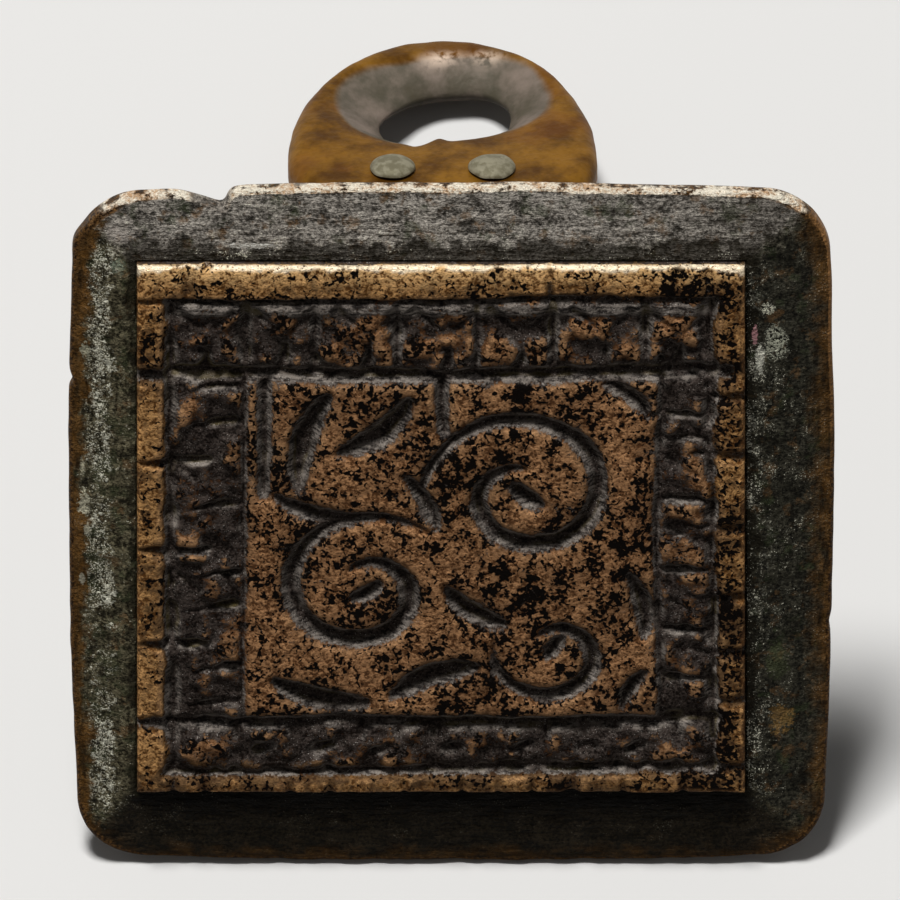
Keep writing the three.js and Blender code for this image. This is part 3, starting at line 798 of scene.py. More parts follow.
def bevel_height(x, y):
    """The bevel as four planes that meet on the mitre lines."""
    inner = DIE_HALF_HEIGHT + SEAM + LEDGE
    inner_x = DIE_HALF_BOTTOM - 0.05 + SEAM + LEDGE
    shares = [
        (x - DIE_X - inner_x) / (PLATE_HALF[0] + 0.1 - DIE_X - inner_x),
        (DIE_X - inner_x - x) / (PLATE_HALF[0] + 0.1 + DIE_X - inner_x),
        (y - DIE_Y - inner) / (PLATE_HALF[1] + 0.1 - DIE_Y - inner),
        (DIE_Y - inner - y) / (PLATE_HALF[1] + 0.1 + DIE_Y - inner),
    ]
    outward = np.maximum.reduce(shares)
    return BEVEL_TOP - (BEVEL_TOP - RIM_TOP) * np.clip(outward, 0, 1.2)


# %% The plate's rings
ledge_ring = on_rays(die_outline(SEAM + LEDGE))
seam_ring = on_rays(die_outline(SEAM))
rim_ring = dented(on_rays(rounded_square(*PLATE_HALF, PLATE_CORNER, SIDE_BULGE)))
back_rim = dented(on_rays(rounded_square(*PLATE_HALF, PLATE_CORNER, SIDE_BULGE)), 0.95)
SEAT_HALF, SEAT_CORNER = 6.3, 2.5
seat_ring = on_rays(rounded_square(SEAT_HALF, SEAT_HALF, SEAT_CORNER))
HANDLE_X = -0.33
TENON_HOLE_HALF, SPREAD_HOLE_HALF, HOLE_CORNER = 1.6, 2.4, 0.05
tenon_hole = on_rays(rounded_square(TENON_HOLE_HALF, TENON_HOLE_HALF, HOLE_CORNER)) + (HANDLE_X, 0)
spread_hole = on_rays(rounded_square(SPREAD_HOLE_HALF, SPREAD_HOLE_HALF, HOLE_CORNER)) + (HANDLE_X, 0)
RIM_SOFT = 0.2  # how rounded the rim is towards the bevel
BACK_SOFT = 0.16  # and towards the back

plate_rings, rim_wear, outward = [], [], []


def add_ring(flat, z, wear=0.0, run=0.0):
    """A ring at a height, with how much it is rubbed and how far it is from the die to the rim."""
    plate_rings.append(np.column_stack([flat, np.broadcast_to(z, len(flat))]))
    rim_wear.append(np.broadcast_to(wear, len(flat)))
    outward.append(np.broadcast_to(run, len(flat)))


add_ring(seam_ring, BEVEL_TOP - 0.06)
add_ring(seam_ring + (ledge_ring - seam_ring) * 0.35, BEVEL_TOP)
BEVEL_ROWS = 40
rim_inner = rim_ring * (1 - RIM_SOFT / np.hypot(*rim_ring.T))[:, None]
for share in np.linspace(0, 1, BEVEL_ROWS):
    flat = ledge_ring + (rim_inner - ledge_ring) * share
    x, y = flat.T
    place = np.column_stack([x, y, 0 * x])
    along_edge = np.column_stack([x / 3, y, 0 * x])
    rough = 0.04 * clouds(place, 2.4, 41) + 0.04 * clouds(place, 0.8, 42) + 0.026 * clouds(place, 0.32, 43)
    rough += 0.02 * clouds(along_edge, 0.35, 44)
    calm = ease(share, 0, 0.12)
    z = bevel_height(x, y) + rough * calm - 0.02 * (1 - calm)
    add_ring(flat, z, ease(share, 0.94, 1.0) * 0.45, share)
rim_height = plate_rings[-1][:, 2]
for angle in np.radians((20, 40, 60, 78, 90)):
    flat = rim_inner + (rim_ring - rim_inner) * math.sin(angle)
    add_ring(flat, rim_height - RIM_SOFT * (1 - math.cos(angle)), 1.0, 1.0)
for share in (0.35, 0.7, 1.0):
    z = (rim_height - RIM_SOFT) * (1 - share) + BACK_SOFT * share
    add_ring(rim_ring + (back_rim - rim_ring) * share, z, 0.8, 1.0)
for angle in np.radians((30, 60, 90)):
    flat = back_rim * (1 - BACK_SOFT * (1 - math.cos(angle)) / np.hypot(*back_rim.T))[:, None]
    add_ring(flat, BACK_SOFT * (1 - math.sin(angle)), 0.7, 1.0)
back_edge = flat
for share in np.linspace(0, 1, 22)[1:]:
    flat = back_edge + (seat_ring - back_edge) * share
    place = np.column_stack([flat, 0 * flat[:, 0]])
    rough = 0.05 * clouds(place, 2.8, 45) + 0.02 * clouds(place, 0.8, 46)
    rough = rough * ease(share, 0, 0.2) * ease(-share, -1, -0.85)
    rise = SEAT_Z * ease(share, -0.02, 1.12) / ease(1, -0.02, 1.12)
    add_ring(flat, rise + rough, 0.5 * (1 - ease(share, 0, 0.15)), 0.5)
for share in np.linspace(0, 1, 8)[1:]:
    add_ring(seat_ring + (tenon_hole - seat_ring) * share, SEAT_Z, 0)
add_ring(tenon_hole, -1.1)
add_ring(spread_hole, -0.3)
add_ring(spread_hole, RECESS_FLOOR_Z)
for share in (0.3, 0.7, 1.0):
    add_ring(spread_hole + (seam_ring - spread_hole) * share, RECESS_FLOOR_Z)
add_ring(seam_ring, 0.5)
plate_faces = ring_faces(len(plate_rings), len(directions), True)
plate_readings = {"rim": rim_wear, "outward": outward}
plate_mesh = mesh_from("plate", stacked(plate_rings, True), plate_faces, plate_readings, sharp_angle=42)
add_piece("bevelled_plate", plate_mesh, "base_plate")

# %% [markdown]
# ## The shank
#
# The shank was turned on a lathe and then hammered a little flat. It has a foot on the
# plate's back, a waist, a collar, a square tenon into the plate and a tab that carries the
# loop. The parts are modelled apart and then remeshed into one skin, which gives the small
# soft fillets of a casting where they meet.

# %% The shank's turned profile
FOOT_Z = -1.9
SHANK_LENGTH = 18.6
FLATTENING = 0.8  # thickness as a share of the width, at the foot
COLLAR_FLATTER = 0.246  # how much smaller that share is at the collar
SHOULDER_Z = FOOT_Z - SHANK_LENGTH
SHANK_SIDES = 128

profile = np.vstack([  # radius and distance from the plate's back
    bow((5.25, 0), (5.5, 0), (5.5, 0.25), 5),
    bow((5.5, 0.5), (5.5, 0.7), (5.2, 0.78), 5),
    bow((5.05, 0.85), (2.6, 2.98), (2.6, 9.3), 40)[1:],
    bow((2.6, 9.3), (2.6, 14.58), (3.25, 15.9), 26)[1:],
    bow((3.3, 16.0), (3.62, 16.0), (3.62, 16.2), 4),
    bow((3.62, 16.3), (3.62, 16.45), (3.4, 16.45), 4),
    bow((3.6, 16.5), (4.5, 16.5), (4.6, 17.2), 9),
    bow((4.6, 17.3), (4.45, 17.5), (4.6, 17.7), 5),
    bow((4.6, 18.2), (4.6, 18.6), (4.2, 18.6), 6),
])
turn_angle = np.linspace(0, 2 * math.pi, SHANK_SIDES, endpoint=False)
shank_rings = [
    np.column_stack([
        HANDLE_X + radius * np.cos(turn_angle),
        radius * (FLATTENING - COLLAR_FLATTER * distance / SHANK_LENGTH) * np.sin(turn_angle),
        np.full(SHANK_SIDES, FOOT_Z - distance),
    ])
    for radius, distance in profile
]
print(f"shank: {len(profile)} rings, {2 * profile[:, 0].min():.2f} mm wide at the waist")


# %% The tab for the loop and the tenon for the plate
def block(outline, *heights):
    """A flat bar between two heights, from an outline in x and distance from the shoulder."""
    x, z = outline[:, 0] + HANDLE_X, SHOULDER_Z - outline[:, 1]
    return [np.column_stack([x, np.full(len(outline), y), z]) for y in heights]


TAB_HALF, TAB_LENGTH = 3.8, 4.6
tab = block(
    np.vstack([
        [(-TAB_HALF, -1), (TAB_HALF, -1)],
        bow((TAB_HALF, 2.7), (TAB_HALF, TAB_LENGTH), (1.9, TAB_LENGTH), 10),
        bow((-1.9, TAB_LENGTH), (-TAB_HALF, TAB_LENGTH), (-TAB_HALF, 2.7), 10),
    ]),
    -1.55,
    -0.05,
)


def square_ring(half, z):
    """The four corners of the tenon at one height."""
    corners = ((1, 1), (-1, 1), (-1, -1), (1, -1))
    return np.array([(HANDLE_X + half * sx, half * sy, z) for sx, sy in corners])


TENON_HALF, SPREAD_HALF = 1.5, 2.3
tenon_sizes = ((TENON_HALF, -2.4), (TENON_HALF, -0.9), (SPREAD_HALF, -0.25), (SPREAD_HALF, -0.2))
tenon = [square_ring(half, z) for half, z in tenon_sizes]
print(f"tab {2 * TAB_HALF} mm wide, tenon {2 * TENON_HALF} mm, spread to {2 * SPREAD_HALF} mm")


# %% One skin for the shank
def skin(name, parts, voxel):
    """Joins closed parts into one mesh and remeshes it in voxels of that size in mm."""
    points, faces, start = [], [], 0
    for part in parts:
        part_points = stacked(part, False)
        faces += [tuple(start + i for i in face) for face in ring_faces(len(part), len(part[0]), False)]
        points.append(part_points)
        start += len(part_points)
    mesh = mesh_from(name, np.vstack(points), faces)
    holder = bpy.data.objects.new(name, mesh)
    bpy.context.scene.collection.objects.link(holder)
    remesh = holder.modifiers.new("skin", "REMESH")
    remesh.mode = "VOXEL"
    remesh.voxel_size = voxel / 1000
    relax = holder.modifiers.new("relax", "SMOOTH")
    relax.iterations = 3
    relax.factor = 0.5
    shown = holder.evaluated_get(bpy.context.evaluated_depsgraph_get())
    made = bpy.data.meshes.new_from_object(shown)
    bpy.data.objects.remove(holder)
    return made


def roughen(mesh, lumps_of):
    """Moves each point along its normal by several sizes of clouds: (size, height, seed)."""
    points = np.empty(len(mesh.vertices) * 3)
    mesh.vertices.foreach_get("co", points)
    points = points.reshape(-1, 3) * 1000
    normals = np.empty(len(mesh.vertices) * 3)
    mesh.vertex_normals.foreach_get("vector", normals)
    moved = sum(tall * clouds(points, size, seed) for size, tall, seed in lumps_of)
    points += normals.reshape(-1, 3) * moved[:, None]
    mesh.vertices.foreach_set("co", (points / 1000).ravel())
    mesh.update()
    mesh.shade_smooth()


shank_mesh = skin("shank", [shank_rings, tab, tenon], voxel=0.14)
roughen(shank_mesh, ((3.5, 0.05, 51), (1.1, 0.02, 52), (0.4, 0.008, 53)))
add_piece("shank", shank_mesh, "handle_shank")

# %% [markdown]
# ## The loop
#
# A cord went through the loop. It is a flat casting with a round arch and soft edges, rubbed
# smooth by hands. Its hole is a funnel, from a wide leaning oval in front to a smaller throat.
# Its mesh is a stack of rings as well: each ring goes all the way round the hole, and the
# stack runs from the hole over the front, the outer edge and the back to the hole again.

# %% The loop's outlines
LOOP_BACK, LOOP_FRONT = 0.05, 1.8
LOOP_HALF, WIDEST_AT, ARCH_RISE = 5.9, 4.3, 9.0
TANG_HALF, TANG_GAP = 3.8, 0.1
HOLE_AT = 8.25
loop_angle = np.linspace(-math.pi, math.pi, 420, endpoint=False)


def by_angle(outline):
    """Radius of an outline about the hole's middle, at each of the loop's directions."""
    angle = np.arctan2(outline[:, 1] - HOLE_AT, outline[:, 0])
    order = np.argsort(angle)
    radius = np.hypot(outline[:, 0], outline[:, 1] - HOLE_AT)
    return np.interp(loop_angle, angle[order], radius[order], period=2 * math.pi)


arch_angle = np.linspace(0, math.pi, 200)
arch = np.stack([LOOP_HALF * np.cos(arch_angle), WIDEST_AT + ARCH_RISE * np.sin(arch_angle)], 1)
tang_end = np.stack([np.linspace(-TANG_HALF, TANG_HALF, 60), np.full(60, TANG_GAP)], 1)
outer = by_angle(np.vstack([
    tang_end,
    bow((TANG_HALF, TANG_GAP), (LOOP_HALF, 2.1), (LOOP_HALF, WIDEST_AT), 60),
    arch,
    bow((-LOOP_HALF, WIDEST_AT), (-LOOP_HALF, 2.1), (-TANG_HALF, TANG_GAP), 60),
]))


def oval(half_width, start, length, squareness, slant):
    """A slightly squared oval that leans, as radii about the hole's middle."""
    turn = np.linspace(0, 2 * math.pi, 300, endpoint=False)
    x = half_width * np.sign(np.cos(turn)) * np.abs(np.cos(turn)) ** (2 / squareness)
    y = length / 2 * np.sign(np.sin(turn)) * np.abs(np.sin(turn)) ** (2 / squareness)
    lean = math.radians(slant)
    leaning = [x * math.cos(lean) - y * math.sin(lean), x * math.sin(lean) + y * math.cos(lean)]
    return by_angle(np.stack(leaning, 1) + (0, start + length / 2))


loop_place = np.stack([8 * np.cos(loop_angle), 8 * np.sin(loop_angle), 0 * loop_angle], 1)
outer = outer - 0.05 * (1 + clouds(loop_place, 3.1, 61)) - 0.03 * clouds(loop_place, 1.1, 62)
front_hole = oval(3.75, 5.4, 5.95, 2.5, 15) + 0.1 * clouds(loop_place, 3.5, 63)
THROAT = (  # direction in degrees and distance from the hole's middle
    (-180, 2.3),
    (-150, 2.5),
    (-120, 2.8),
    (-90, 2.7),
    (-60, 2.5),
    (-35, 2.45),
    (0, 2.5),
    (30, 2.75),
    (55, 2.8),
    (75, 2.45),
    (90, 2.3),
    (112, 2.1),
    (135, 2.0),
    (160, 2.1),
)
throat_way = np.unwrap([math.radians(way) for way, _ in THROAT])
throat = np.interp(loop_angle, throat_way, [reach for _, reach in THROAT], period=2 * math.pi)
for _ in range(60):
    throat = (np.roll(throat, 1) + 2 * throat + np.roll(throat, -1)) / 4
# Painted highlight: two pale spots of light on the lip of the hole, stored on the mesh below.
painted_lip_highlight = bell(loop_angle - 1.6, 0.2) + 0.8 * bell(loop_angle - 1.1, 0.14)
lump = 0.3 * bell(loop_angle + 1.62, 0.1) - 0.2 * bell(loop_angle + 1.86, 0.1)
front_hole -= lump
throat -= lump
print(f"throat {throat.min():.2f} to {throat.max():.2f} mm from the hole's middle")

# %% The loop's section, carried round the hole
EDGE_SOFT = 0.6


def loop_section():
    """(share across, mm from the nearer edge, share of the thickness) round the metal's section."""
    half = (LOOP_FRONT - LOOP_BACK) / 2
    flat = half - EDGE_SOFT
    section = [(0, 0, b / half) for b in np.linspace(-flat, flat, 4)]
    for angle in np.linspace(0, math.pi / 2, 7)[1:]:
        section.append((0, EDGE_SOFT * (1 - math.cos(angle)), (flat + EDGE_SOFT * math.sin(angle)) / half))
    section += [(share, EDGE_SOFT * (1 - 2 * share), 1) for share in np.linspace(0, 1, 14)[1:-1]]
    for angle in np.linspace(math.pi / 2, 0, 7)[:-1]:
        section.append((1, -EDGE_SOFT * (1 - math.cos(angle)), (flat + EDGE_SOFT * math.sin(angle)) / half))
    section += [(1, 0, b / half) for b in np.linspace(flat, -flat, 4)]
    mirrored = [(a, inset, -b) for a, inset, b in section[4:-4]][::-1]
    return section + mirrored


loop_rings, film, painted_lip_highlight_rings = [], [], []
for share, inset, level_share in loop_section():
    funnel = np.clip((level_share + 0.45) / 1.45, 0, 1) ** 1.3
    inner = throat + (front_hole - throat) * funnel
    softness = np.minimum(1, 0.42 * (outer - inner) / EDGE_SOFT)
    radius = inner + (outer - inner) * share + inset * softness
    x = HANDLE_X + radius * np.cos(loop_angle)
    distance = HOLE_AT + radius * np.sin(loop_angle)
    y = (LOOP_BACK + LOOP_FRONT) / 2 + level_share * (LOOP_FRONT - LOOP_BACK) / 2
    y = y - 0.16 * level_share * ((2 * radius - inner - outer) / (outer - inner)) ** 2
    loop_rings.append(np.column_stack([x, y, SHOULDER_Z - distance]))
    film.append(np.exp(-np.clip(radius - front_hole, 0, None) / 0.6))
    painted_lip_highlight_rings.append(painted_lip_highlight * bell(radius - front_hole - 0.2, 0.28) * (level_share > 0.3))
loop_faces = ring_faces(len(loop_rings), len(loop_angle), True)
loop_readings = {"film": film, "painted_lip_highlight": painted_lip_highlight_rings}
loop_mesh = mesh_from("loop", stacked(loop_rings, True), loop_faces, loop_readings, sharp_angle=80)
roughen(loop_mesh, ((2.6, 0.05, 65), (0.9, 0.02, 66), (0.35, 0.006, 67)))
add_piece("loop", loop_mesh, "handle_loop")

# %% [markdown]
# ## The rivets
#
# Two rivets hold the loop on the shank's tab. A rivet starts as a short rod. Its ends are
# hammered into low domes, which never come out quite round.

# %% Hammered rivets
RIVET_X = (-2.205, 1.545)
RIVET_Z = SHOULDER_Z - 2.65
STEM_RADIUS, HEAD_RADIUS, HEAD_HEIGHT = 0.55, 0.88, 0.35
HEAD_BACK, HEAD_FRONT = -1.65, 1.9  # where the two heads lie on the metal
RIVET_SIDES = 72


def rivet_mesh(name, x, seed):
    """A rivet with a low hammered dome at both ends."""
    bends = np.linspace(0, math.pi / 2, 12)[:-1]
    dome = [(HEAD_RADIUS * math.cos(bend), HEAD_HEIGHT * math.sin(bend)) for bend in bends]
    section = [(radius, HEAD_BACK - rise) for radius, rise in reversed(dome)]
    section += [(STEM_RADIUS, HEAD_BACK + 0.03), (STEM_RADIUS, HEAD_FRONT - 0.02)]
    section += [(radius, HEAD_FRONT + rise) for radius, rise in dome]
    angle = np.linspace(0, 2 * math.pi, RIVET_SIDES, endpoint=False)
    rings = []
    for radius, y in section:
        place = np.column_stack([np.cos(angle), np.sin(angle), np.full(RIVET_SIDES, y)])
        wobble = radius * (1 + 0.05 * clouds(place, 0.9, seed))
        dent = 0.05 * clouds(place * radius, 0.5, seed + 1) * (1 if abs(y) > 1.66 else 0)
        ring = [x + wobble * np.cos(angle), y + np.sign(y) * dent, RIVET_Z + wobble * np.sin(angle)]
        rings.append(np.column_stack(ring))
    faces = ring_faces(len(rings), RIVET_SIDES, False)
    return mesh_from(name, stacked(rings, False), faces, sharp_angle=50)


rivets = [
    add_piece(f"rivet_{label}", rivet_mesh(f"rivet_{label}", x, seed), f"loop_rivet_{label}")
    for label, x, seed in (("left", RIVET_X[0], 71), ("right", RIVET_X[1], 75))
]

# %% [markdown]
# ## The finish of the die
#
# The face is copper alloy that was once black all over. Printing and handling rubbed the
# high places back to bare brown metal, while the cuts and pits kept the dark crust. Such a
# face could be painted by hand, but masks fit every cut by themselves. How far below the face
# a point lies tells crust from bare metal. The pits are cells of a Voronoi pattern, bent by
# noise and grown into chains and clusters, with a brown halo round each. Steep walls carry a
# grey film, and the edges are worn bare. Painted light is laid on top: a painted highlight
# along the die's upper edge and on the top strip, painted glints on the crust, and painted
# shade that darkens the right and bottom strips together with their soot.

# %% Pits and crust of the worn copper
copper = Finish("worn_copper")
sunk = copper.reading("sunk")
crest = copper.reading("ridge")
edge = copper.reading("edge")
steep_wall = copper.reading("steep")
across_die, up_die = copper.axis("X") - DIE_X, copper.axis("Y") - DIE_Y
on_strip = copper.step(across_die.gap(0.0).over(up_die.gap(0.0)), 9.65, 10.05)
regions = copper.grain(2.1, 2.0)
mottle = copper.grain(0.5, 3.0, roughness=0.6)
spots = copper.grain(0.2, 2.0)
clusters = copper.grain(0.55, 1.5)
fine = copper.grain(0.11, 3.0, roughness=0.65)
dust = copper.grain(0.05, 1.0)
swirls = {"Vector": copper.place, "Scale": 1 / 0.16}
swirl = copper.node("ShaderNodeTexNoise", sockets=swirls, output="Color")
swirl = copper.vector("SCALE", copper.vector("SUBTRACT", swirl, (0.5, 0.5, 0.5)), scale=0.24)
cells = {"Vector": copper.vector("ADD", copper.place, swirl), "Scale": 1 / 0.17}
from_hole = copper.node("ShaderNodeTexVoronoi", sockets=cells, output="Distance")
chains = copper.step((copper.grain(0.62, 2.0) - 0.5).gap(0.0), 0.06, 0.0)
hole_size = (clusters - 0.5) * 1.6 + chains * 0.4 + (regions - 0.5) * 1.3 + (fine - 0.5) * 0.6 + 0.28
right_end = copper.step(across_die, 5.0, 10.0)
hole_size = hole_size + on_strip * (right_end * 0.3 - 0.2)
halo = copper.step(hole_size - from_hole, -0.22, 0.04)
holes = copper.step(hole_size - from_hole, -0.04, 0.05) * (1 - edge * 0.8)
print("pits and masks of the copper:", len(copper.nodes), "nodes")

# %% Colours of the worn copper
worn = sunk + (fine - 0.5) * 0.4 + (spots - 0.5) * 0.24 + (mottle - 0.5) * 0.24
crusted = copper.step(worn - on_strip * 0.09, 0.09, 0.2)
tone = copper.step(fine * 0.45 + spots * 0.3 + mottle * 0.25, 0.42, 0.58)
rosy = copper.blend(tone, shade(92, 60, 36), shade(204, 152, 106))
golden = copper.blend(tone, shade(94, 60, 28), shade(228, 174, 112))
uncrusted = copper.blend(on_strip, rosy, golden)
uncrusted = copper.blend(copper.step(crest, 0.3, 0.9) * 0.3, uncrusted, shade(214, 170, 124))
# Painted shade: the right and bottom strips are painted darker together with the soot patches.
painted_shade_sides = copper.step(across_die, 9.3, 10.1).over(copper.step(up_die * -1, 9.9, 10.5))
sooty_and_painted_shade = regions * 0.4 + mottle * 0.6 + (fine - 0.5) * 0.5 + sunk * 0.8 + painted_shade_sides * 0.06
soot_and_painted_shade = copper.step(sooty_and_painted_shade, 0.48, 0.64)
uncrusted = copper.blend(soot_and_painted_shade * (0.45 + on_strip * 0.35), uncrusted, shade(50, 38, 30))
# Painted highlight: the top strip is painted paler towards the die's upper edge.
painted_top_highlight = copper.step(up_die + (mottle - 0.5) * 0.9, 10.2, 11.1)
painted_top_highlight = painted_top_highlight * copper.step(fine * 0.5 + spots * 0.5, 0.4, 0.54)
uncrusted = copper.blend(painted_top_highlight * 0.75, uncrusted, shade(252, 204, 140))
# Painted highlight: a cream line along the die's upper edge.
painted_edge_highlight = edge * copper.step(up_die, 10.7, 10.95) * copper.step(fine, 0.34, 0.44)
uncrusted = copper.blend(painted_edge_highlight * 0.95, uncrusted, shade(255, 236, 204))
uncrusted = copper.blend(halo * 0.6 * (1 - painted_edge_highlight), uncrusted, shade(70, 44, 26))
crust = copper.blend(copper.step(mottle * 0.4 + fine * 0.6, 0.4, 0.6), shade(24, 18, 15), shade(82, 72, 66))
scraped = copper.grain(0.09, 2.0, stretch=(7, 1, 7))
wall_tone = copper.step(fine * 0.3 + mottle * 0.3 + scraped * 0.4, 0.42, 0.58)
wall_film = copper.blend(wall_tone, shade(50, 46, 44), shade(156, 146, 136))
olive = copper.step(sunk, 0.34, 0.44) * copper.step(regions, 0.46, 0.6)
wall_film = copper.blend(olive * 0.6, wall_film, shade(118, 104, 60))
crust = copper.blend(steep_wall * 0.9, crust, wall_film)
# Painted glints: small pale flecks of light painted on the crust.
painted_glints = copper.step(dust, 0.66, 0.73) * copper.step(mottle, 0.42, 0.56)
crust = copper.blend(painted_glints * 0.6, crust, shade(220, 212, 202))
colour = copper.blend(holes, uncrusted, shade(12, 8, 6))
colour = copper.blend(crusted, colour, crust)
covered = crusted.over(holes)
copper.set(
    Base_Color=colour,
    Metallic=0.14 + edge * 0.3 - covered * 0.12,
    Roughness=0.45 + covered * 0.1 - edge * 0.12 + (fine - 0.5) * 0.5,
    Specular_IOR_Level=0.02,
    Normal=copper.bump(0.08, (1 - holes) * 0.7 + fine + spots * 0.5),
)
dress(die_mesh, copper)

# %% [markdown]
# ## The finish of the plate
#
# The bevel kept a hard grey-green skin, streaked above, with pale crust and flakes on the
# left. Its four sides are lit and shaded copies of that skin, in painted light and shade:
# paler above, darker on the right and nearly black below. One set of masks tells the four
# sides apart, and the distance from the die places the dirt, the crust, the brown margins and
# a painted shadow just below the die. Fingers rubbed the rim, so it shows golden brown metal,
# and a painted highlight makes it palest along the upper edge.

# %% Sides and grain of the bevel
bronze = Finish("grey_green_bronze")
rim_mask = bronze.reading("rim")
run = bronze.reading("outward")
x, y = bronze.axis("X"), bronze.axis("Y")
cloudy = bronze.grain(1.5, 5.0, roughness=0.65)
mottled = bronze.grain(0.6, 5.0, roughness=0.65)
grit = bronze.grain(0.13, 3.0, roughness=0.65)
speck = bronze.grain(0.055, 1.0)
up_or_down = ((y - 11.5) * 0.36).over((y * -1 - 10.85) * 0.3)
sideways = ((x * -1 - 11.65) * 0.42).over((x - 10.85) * 0.32)
level = bronze.step(up_or_down - sideways + (grit - 0.5) * 0.4 + (mottled - 0.5) * 0.8, -0.2, 0.2)
upper = bronze.step(y, -0.5, 0.5)
rightward = bronze.step(x, -0.5, 0.5)
on_top, on_bottom = level * upper, level * (1 - upper)
on_right, on_left = (1 - level) * rightward, (1 - level) * (1 - rightward)
streaks = bronze.grain(0.24, 4.0, stretch=(5, 1, 5), roughness=0.6) * level
streaks = streaks + bronze.grain(0.24, 4.0, stretch=(1, 5, 5), roughness=0.6) * (1 - level)
wandering = run + (cloudy - 0.5) * 0.7 + (mottled - 0.5) * 0.5
print("masks of the bevel:", len(bronze.nodes), "nodes")

# %% Grey-green skin of the bevel
grain_mix = bronze.step(grit * 0.5 + streaks * 0.25 + mottled * 0.25, 0.4, 0.6)
# Painted light and shade: the top skin is a lit, paler copy of the left one, and the right and bottom skins
# are shaded, darker copies.
side_skin = bronze.blend(grain_mix, shade(38, 34, 23), shade(132, 124, 98))
painted_lit_top_skin = bronze.blend(grain_mix, shade(68, 64, 58), shade(182, 174, 163))
painted_shade_right_skin = bronze.blend(grain_mix, shade(25, 24, 20), shade(80, 77, 65))
painted_shade_bottom_skin = bronze.blend(grain_mix, shade(16, 14, 11), shade(62, 54, 42))
base = bronze.blend(on_top, side_skin, painted_lit_top_skin)
base = bronze.blend(on_right, base, painted_shade_right_skin)
base = bronze.blend(on_bottom, base, painted_shade_bottom_skin)
base = bronze.blend(bronze.step(mottled, 0.48, 0.34) * 0.6, base, shade(34, 31, 25))
earthy = bronze.step(bronze.grain(0.8, 4.0, roughness=0.7) - on_bottom * 0.2, 0.55, 0.66)
base = bronze.blend(earthy * 0.5, base, shade(124, 94, 62))
green = bronze.step(bronze.grain(1.0, 4.0, roughness=0.7) + on_left * 0.05, 0.54, 0.66)
base = bronze.blend(green * (1 - on_bottom) * 0.5, base, shade(66, 74, 50))
dirt = 1 - bronze.step(wandering, on_top * 0.16 - 0.02, on_top * 0.24 + 0.1)
base = bronze.blend(dirt * 0.8, base, shade(34, 30, 22))
# Painted shadow: the bottom bevel is painted nearly black just below the die.
base = bronze.blend(on_bottom * bronze.step(run, 0.5, 0.1) * 0.9, base, shade(8, 7, 6))
print("with its skin:", len(bronze.nodes), "nodes")

# %% Pale crust, flakes and brown margins
pale_zone = on_left * bronze.step(wandering, 0.3, 0.5) * (1 - bronze.step(wandering, 0.75, 0.9))
pale_zone = pale_zone.over(on_right * (1 - bronze.step(wandering, 0.05, 0.6)) * 0.6)
crumbs = grit * 0.5 + mottled * 0.5
loose = speck * 0.4 + crumbs * 0.4 + streaks * 0.2 + (cloudy - 0.5) * 0.3
crusts = bronze.step(loose + pale_zone * 0.075 + on_top * 0.01, 0.6, 0.65)
crusts = crusts * (1 - on_bottom * 0.8)
base = bronze.blend(crusts * 0.85, base, shade(232, 228, 206))
flake_noise = bronze.grain(0.17, 2.5, roughness=0.6)
flakes = bronze.step(flake_noise + (mottled - 0.5) * 0.5 + (cloudy - 0.5) * 0.3, 0.62, 0.66)
flakes = flakes * pale_zone * (1 - on_bottom) * (1 - on_right * 0.75)
base = bronze.blend(flakes * 0.8, base, shade(255, 252, 230))
brown_zone = on_left * bronze.step(wandering, 0.74, 0.9)
brown_zone = brown_zone + on_right * bronze.step(wandering, 0.7, 1.05) * 0.8
brown_zone = brown_zone + on_bottom * bronze.step(wandering, 0.75, 1.1) * 0.6
margin_tone = bronze.step(streaks * 0.6 + cloudy * 0.4, 0.36, 0.62)
margin = bronze.blend(margin_tone, shade(46, 28, 8), shade(122, 84, 38))
base = bronze.blend(brown_zone * 0.86, base, margin)
print("with crust and margins:", len(bronze.nodes), "nodes")

# %% Patches of old dirt and corrosion
in_front = bronze.step(bronze.axis("Z"), 0.3, 0.45)


def patch(centre_x, centre_y, wide, tall, grains):
    """A ragged place on the bevel, smooth where grains is 0 and in loose grains where it is 1."""
    across = (x - centre_x) * (1 / wide)
    upward = (y - centre_y) * (1 / tall)
    inside = 1 - bronze.step(across * across + upward * upward + (crumbs - 0.5) * 7, 0.4, 0.9)
    return in_front * inside * (1 - grains * (1 - bronze.step(grit * 0.7 + speck * 0.3, 0.46, 0.52)))


PATCHES = (  # x, y, half width, half height, colour, strength, share in loose grains
    (-13.5, 1.15, 0.26, 0.55, shade(236, 230, 200), 0.95, 0.3),
    (-13.55, 2.6, 0.1, 0.5, shade(206, 200, 172), 0.8, 0.5),
    (-13.4, 0.1, 0.14, 0.3, shade(214, 208, 182), 0.85, 0.3),
    (-13.6, -2.1, 0.12, 0.26, shade(196, 192, 170), 0.75, 0.3),
    (-13.4, 7.6, 0.2, 0.5, shade(200, 196, 168), 0.8, 0.2),
    (-12.15, 11.2, 0.3, 0.42, shade(160, 172, 150), 0.75, 0.5),
    (11.55, 9.55, 0.3, 0.3, shade(255, 252, 226), 0.95, 1.0),
    (11.12, 8.4, 0.12, 0.5, shade(222, 164, 166), 0.75, 0.2),
    (11.3, 7.35, 0.2, 0.75, shade(255, 252, 232), 0.95, 0.5),
    (11.9, 8.1, 0.5, 0.9, shade(226, 226, 202), 0.8, 1.0),
    (12.2, -7.9, 0.5, 0.7, shade(176, 138, 82), 0.75, 0.5),
    (12.1, -5.5, 0.5, 0.8, shade(92, 98, 68), 0.6, 0.5),
    (-7.2, 12.15, 1.1, 0.1, shade(214, 210, 200), 0.8, 0.0),
    (-12.2, 12.6, 0.5, 0.4, shade(178, 168, 158), 0.6, 0.0),
)
for centre_x, centre_y, wide, tall, tint, strength, grains in PATCHES:
    base = bronze.blend(patch(centre_x, centre_y, wide, tall, grains) * strength, base, tint)
print(len(PATCHES), "patches on the bevel")

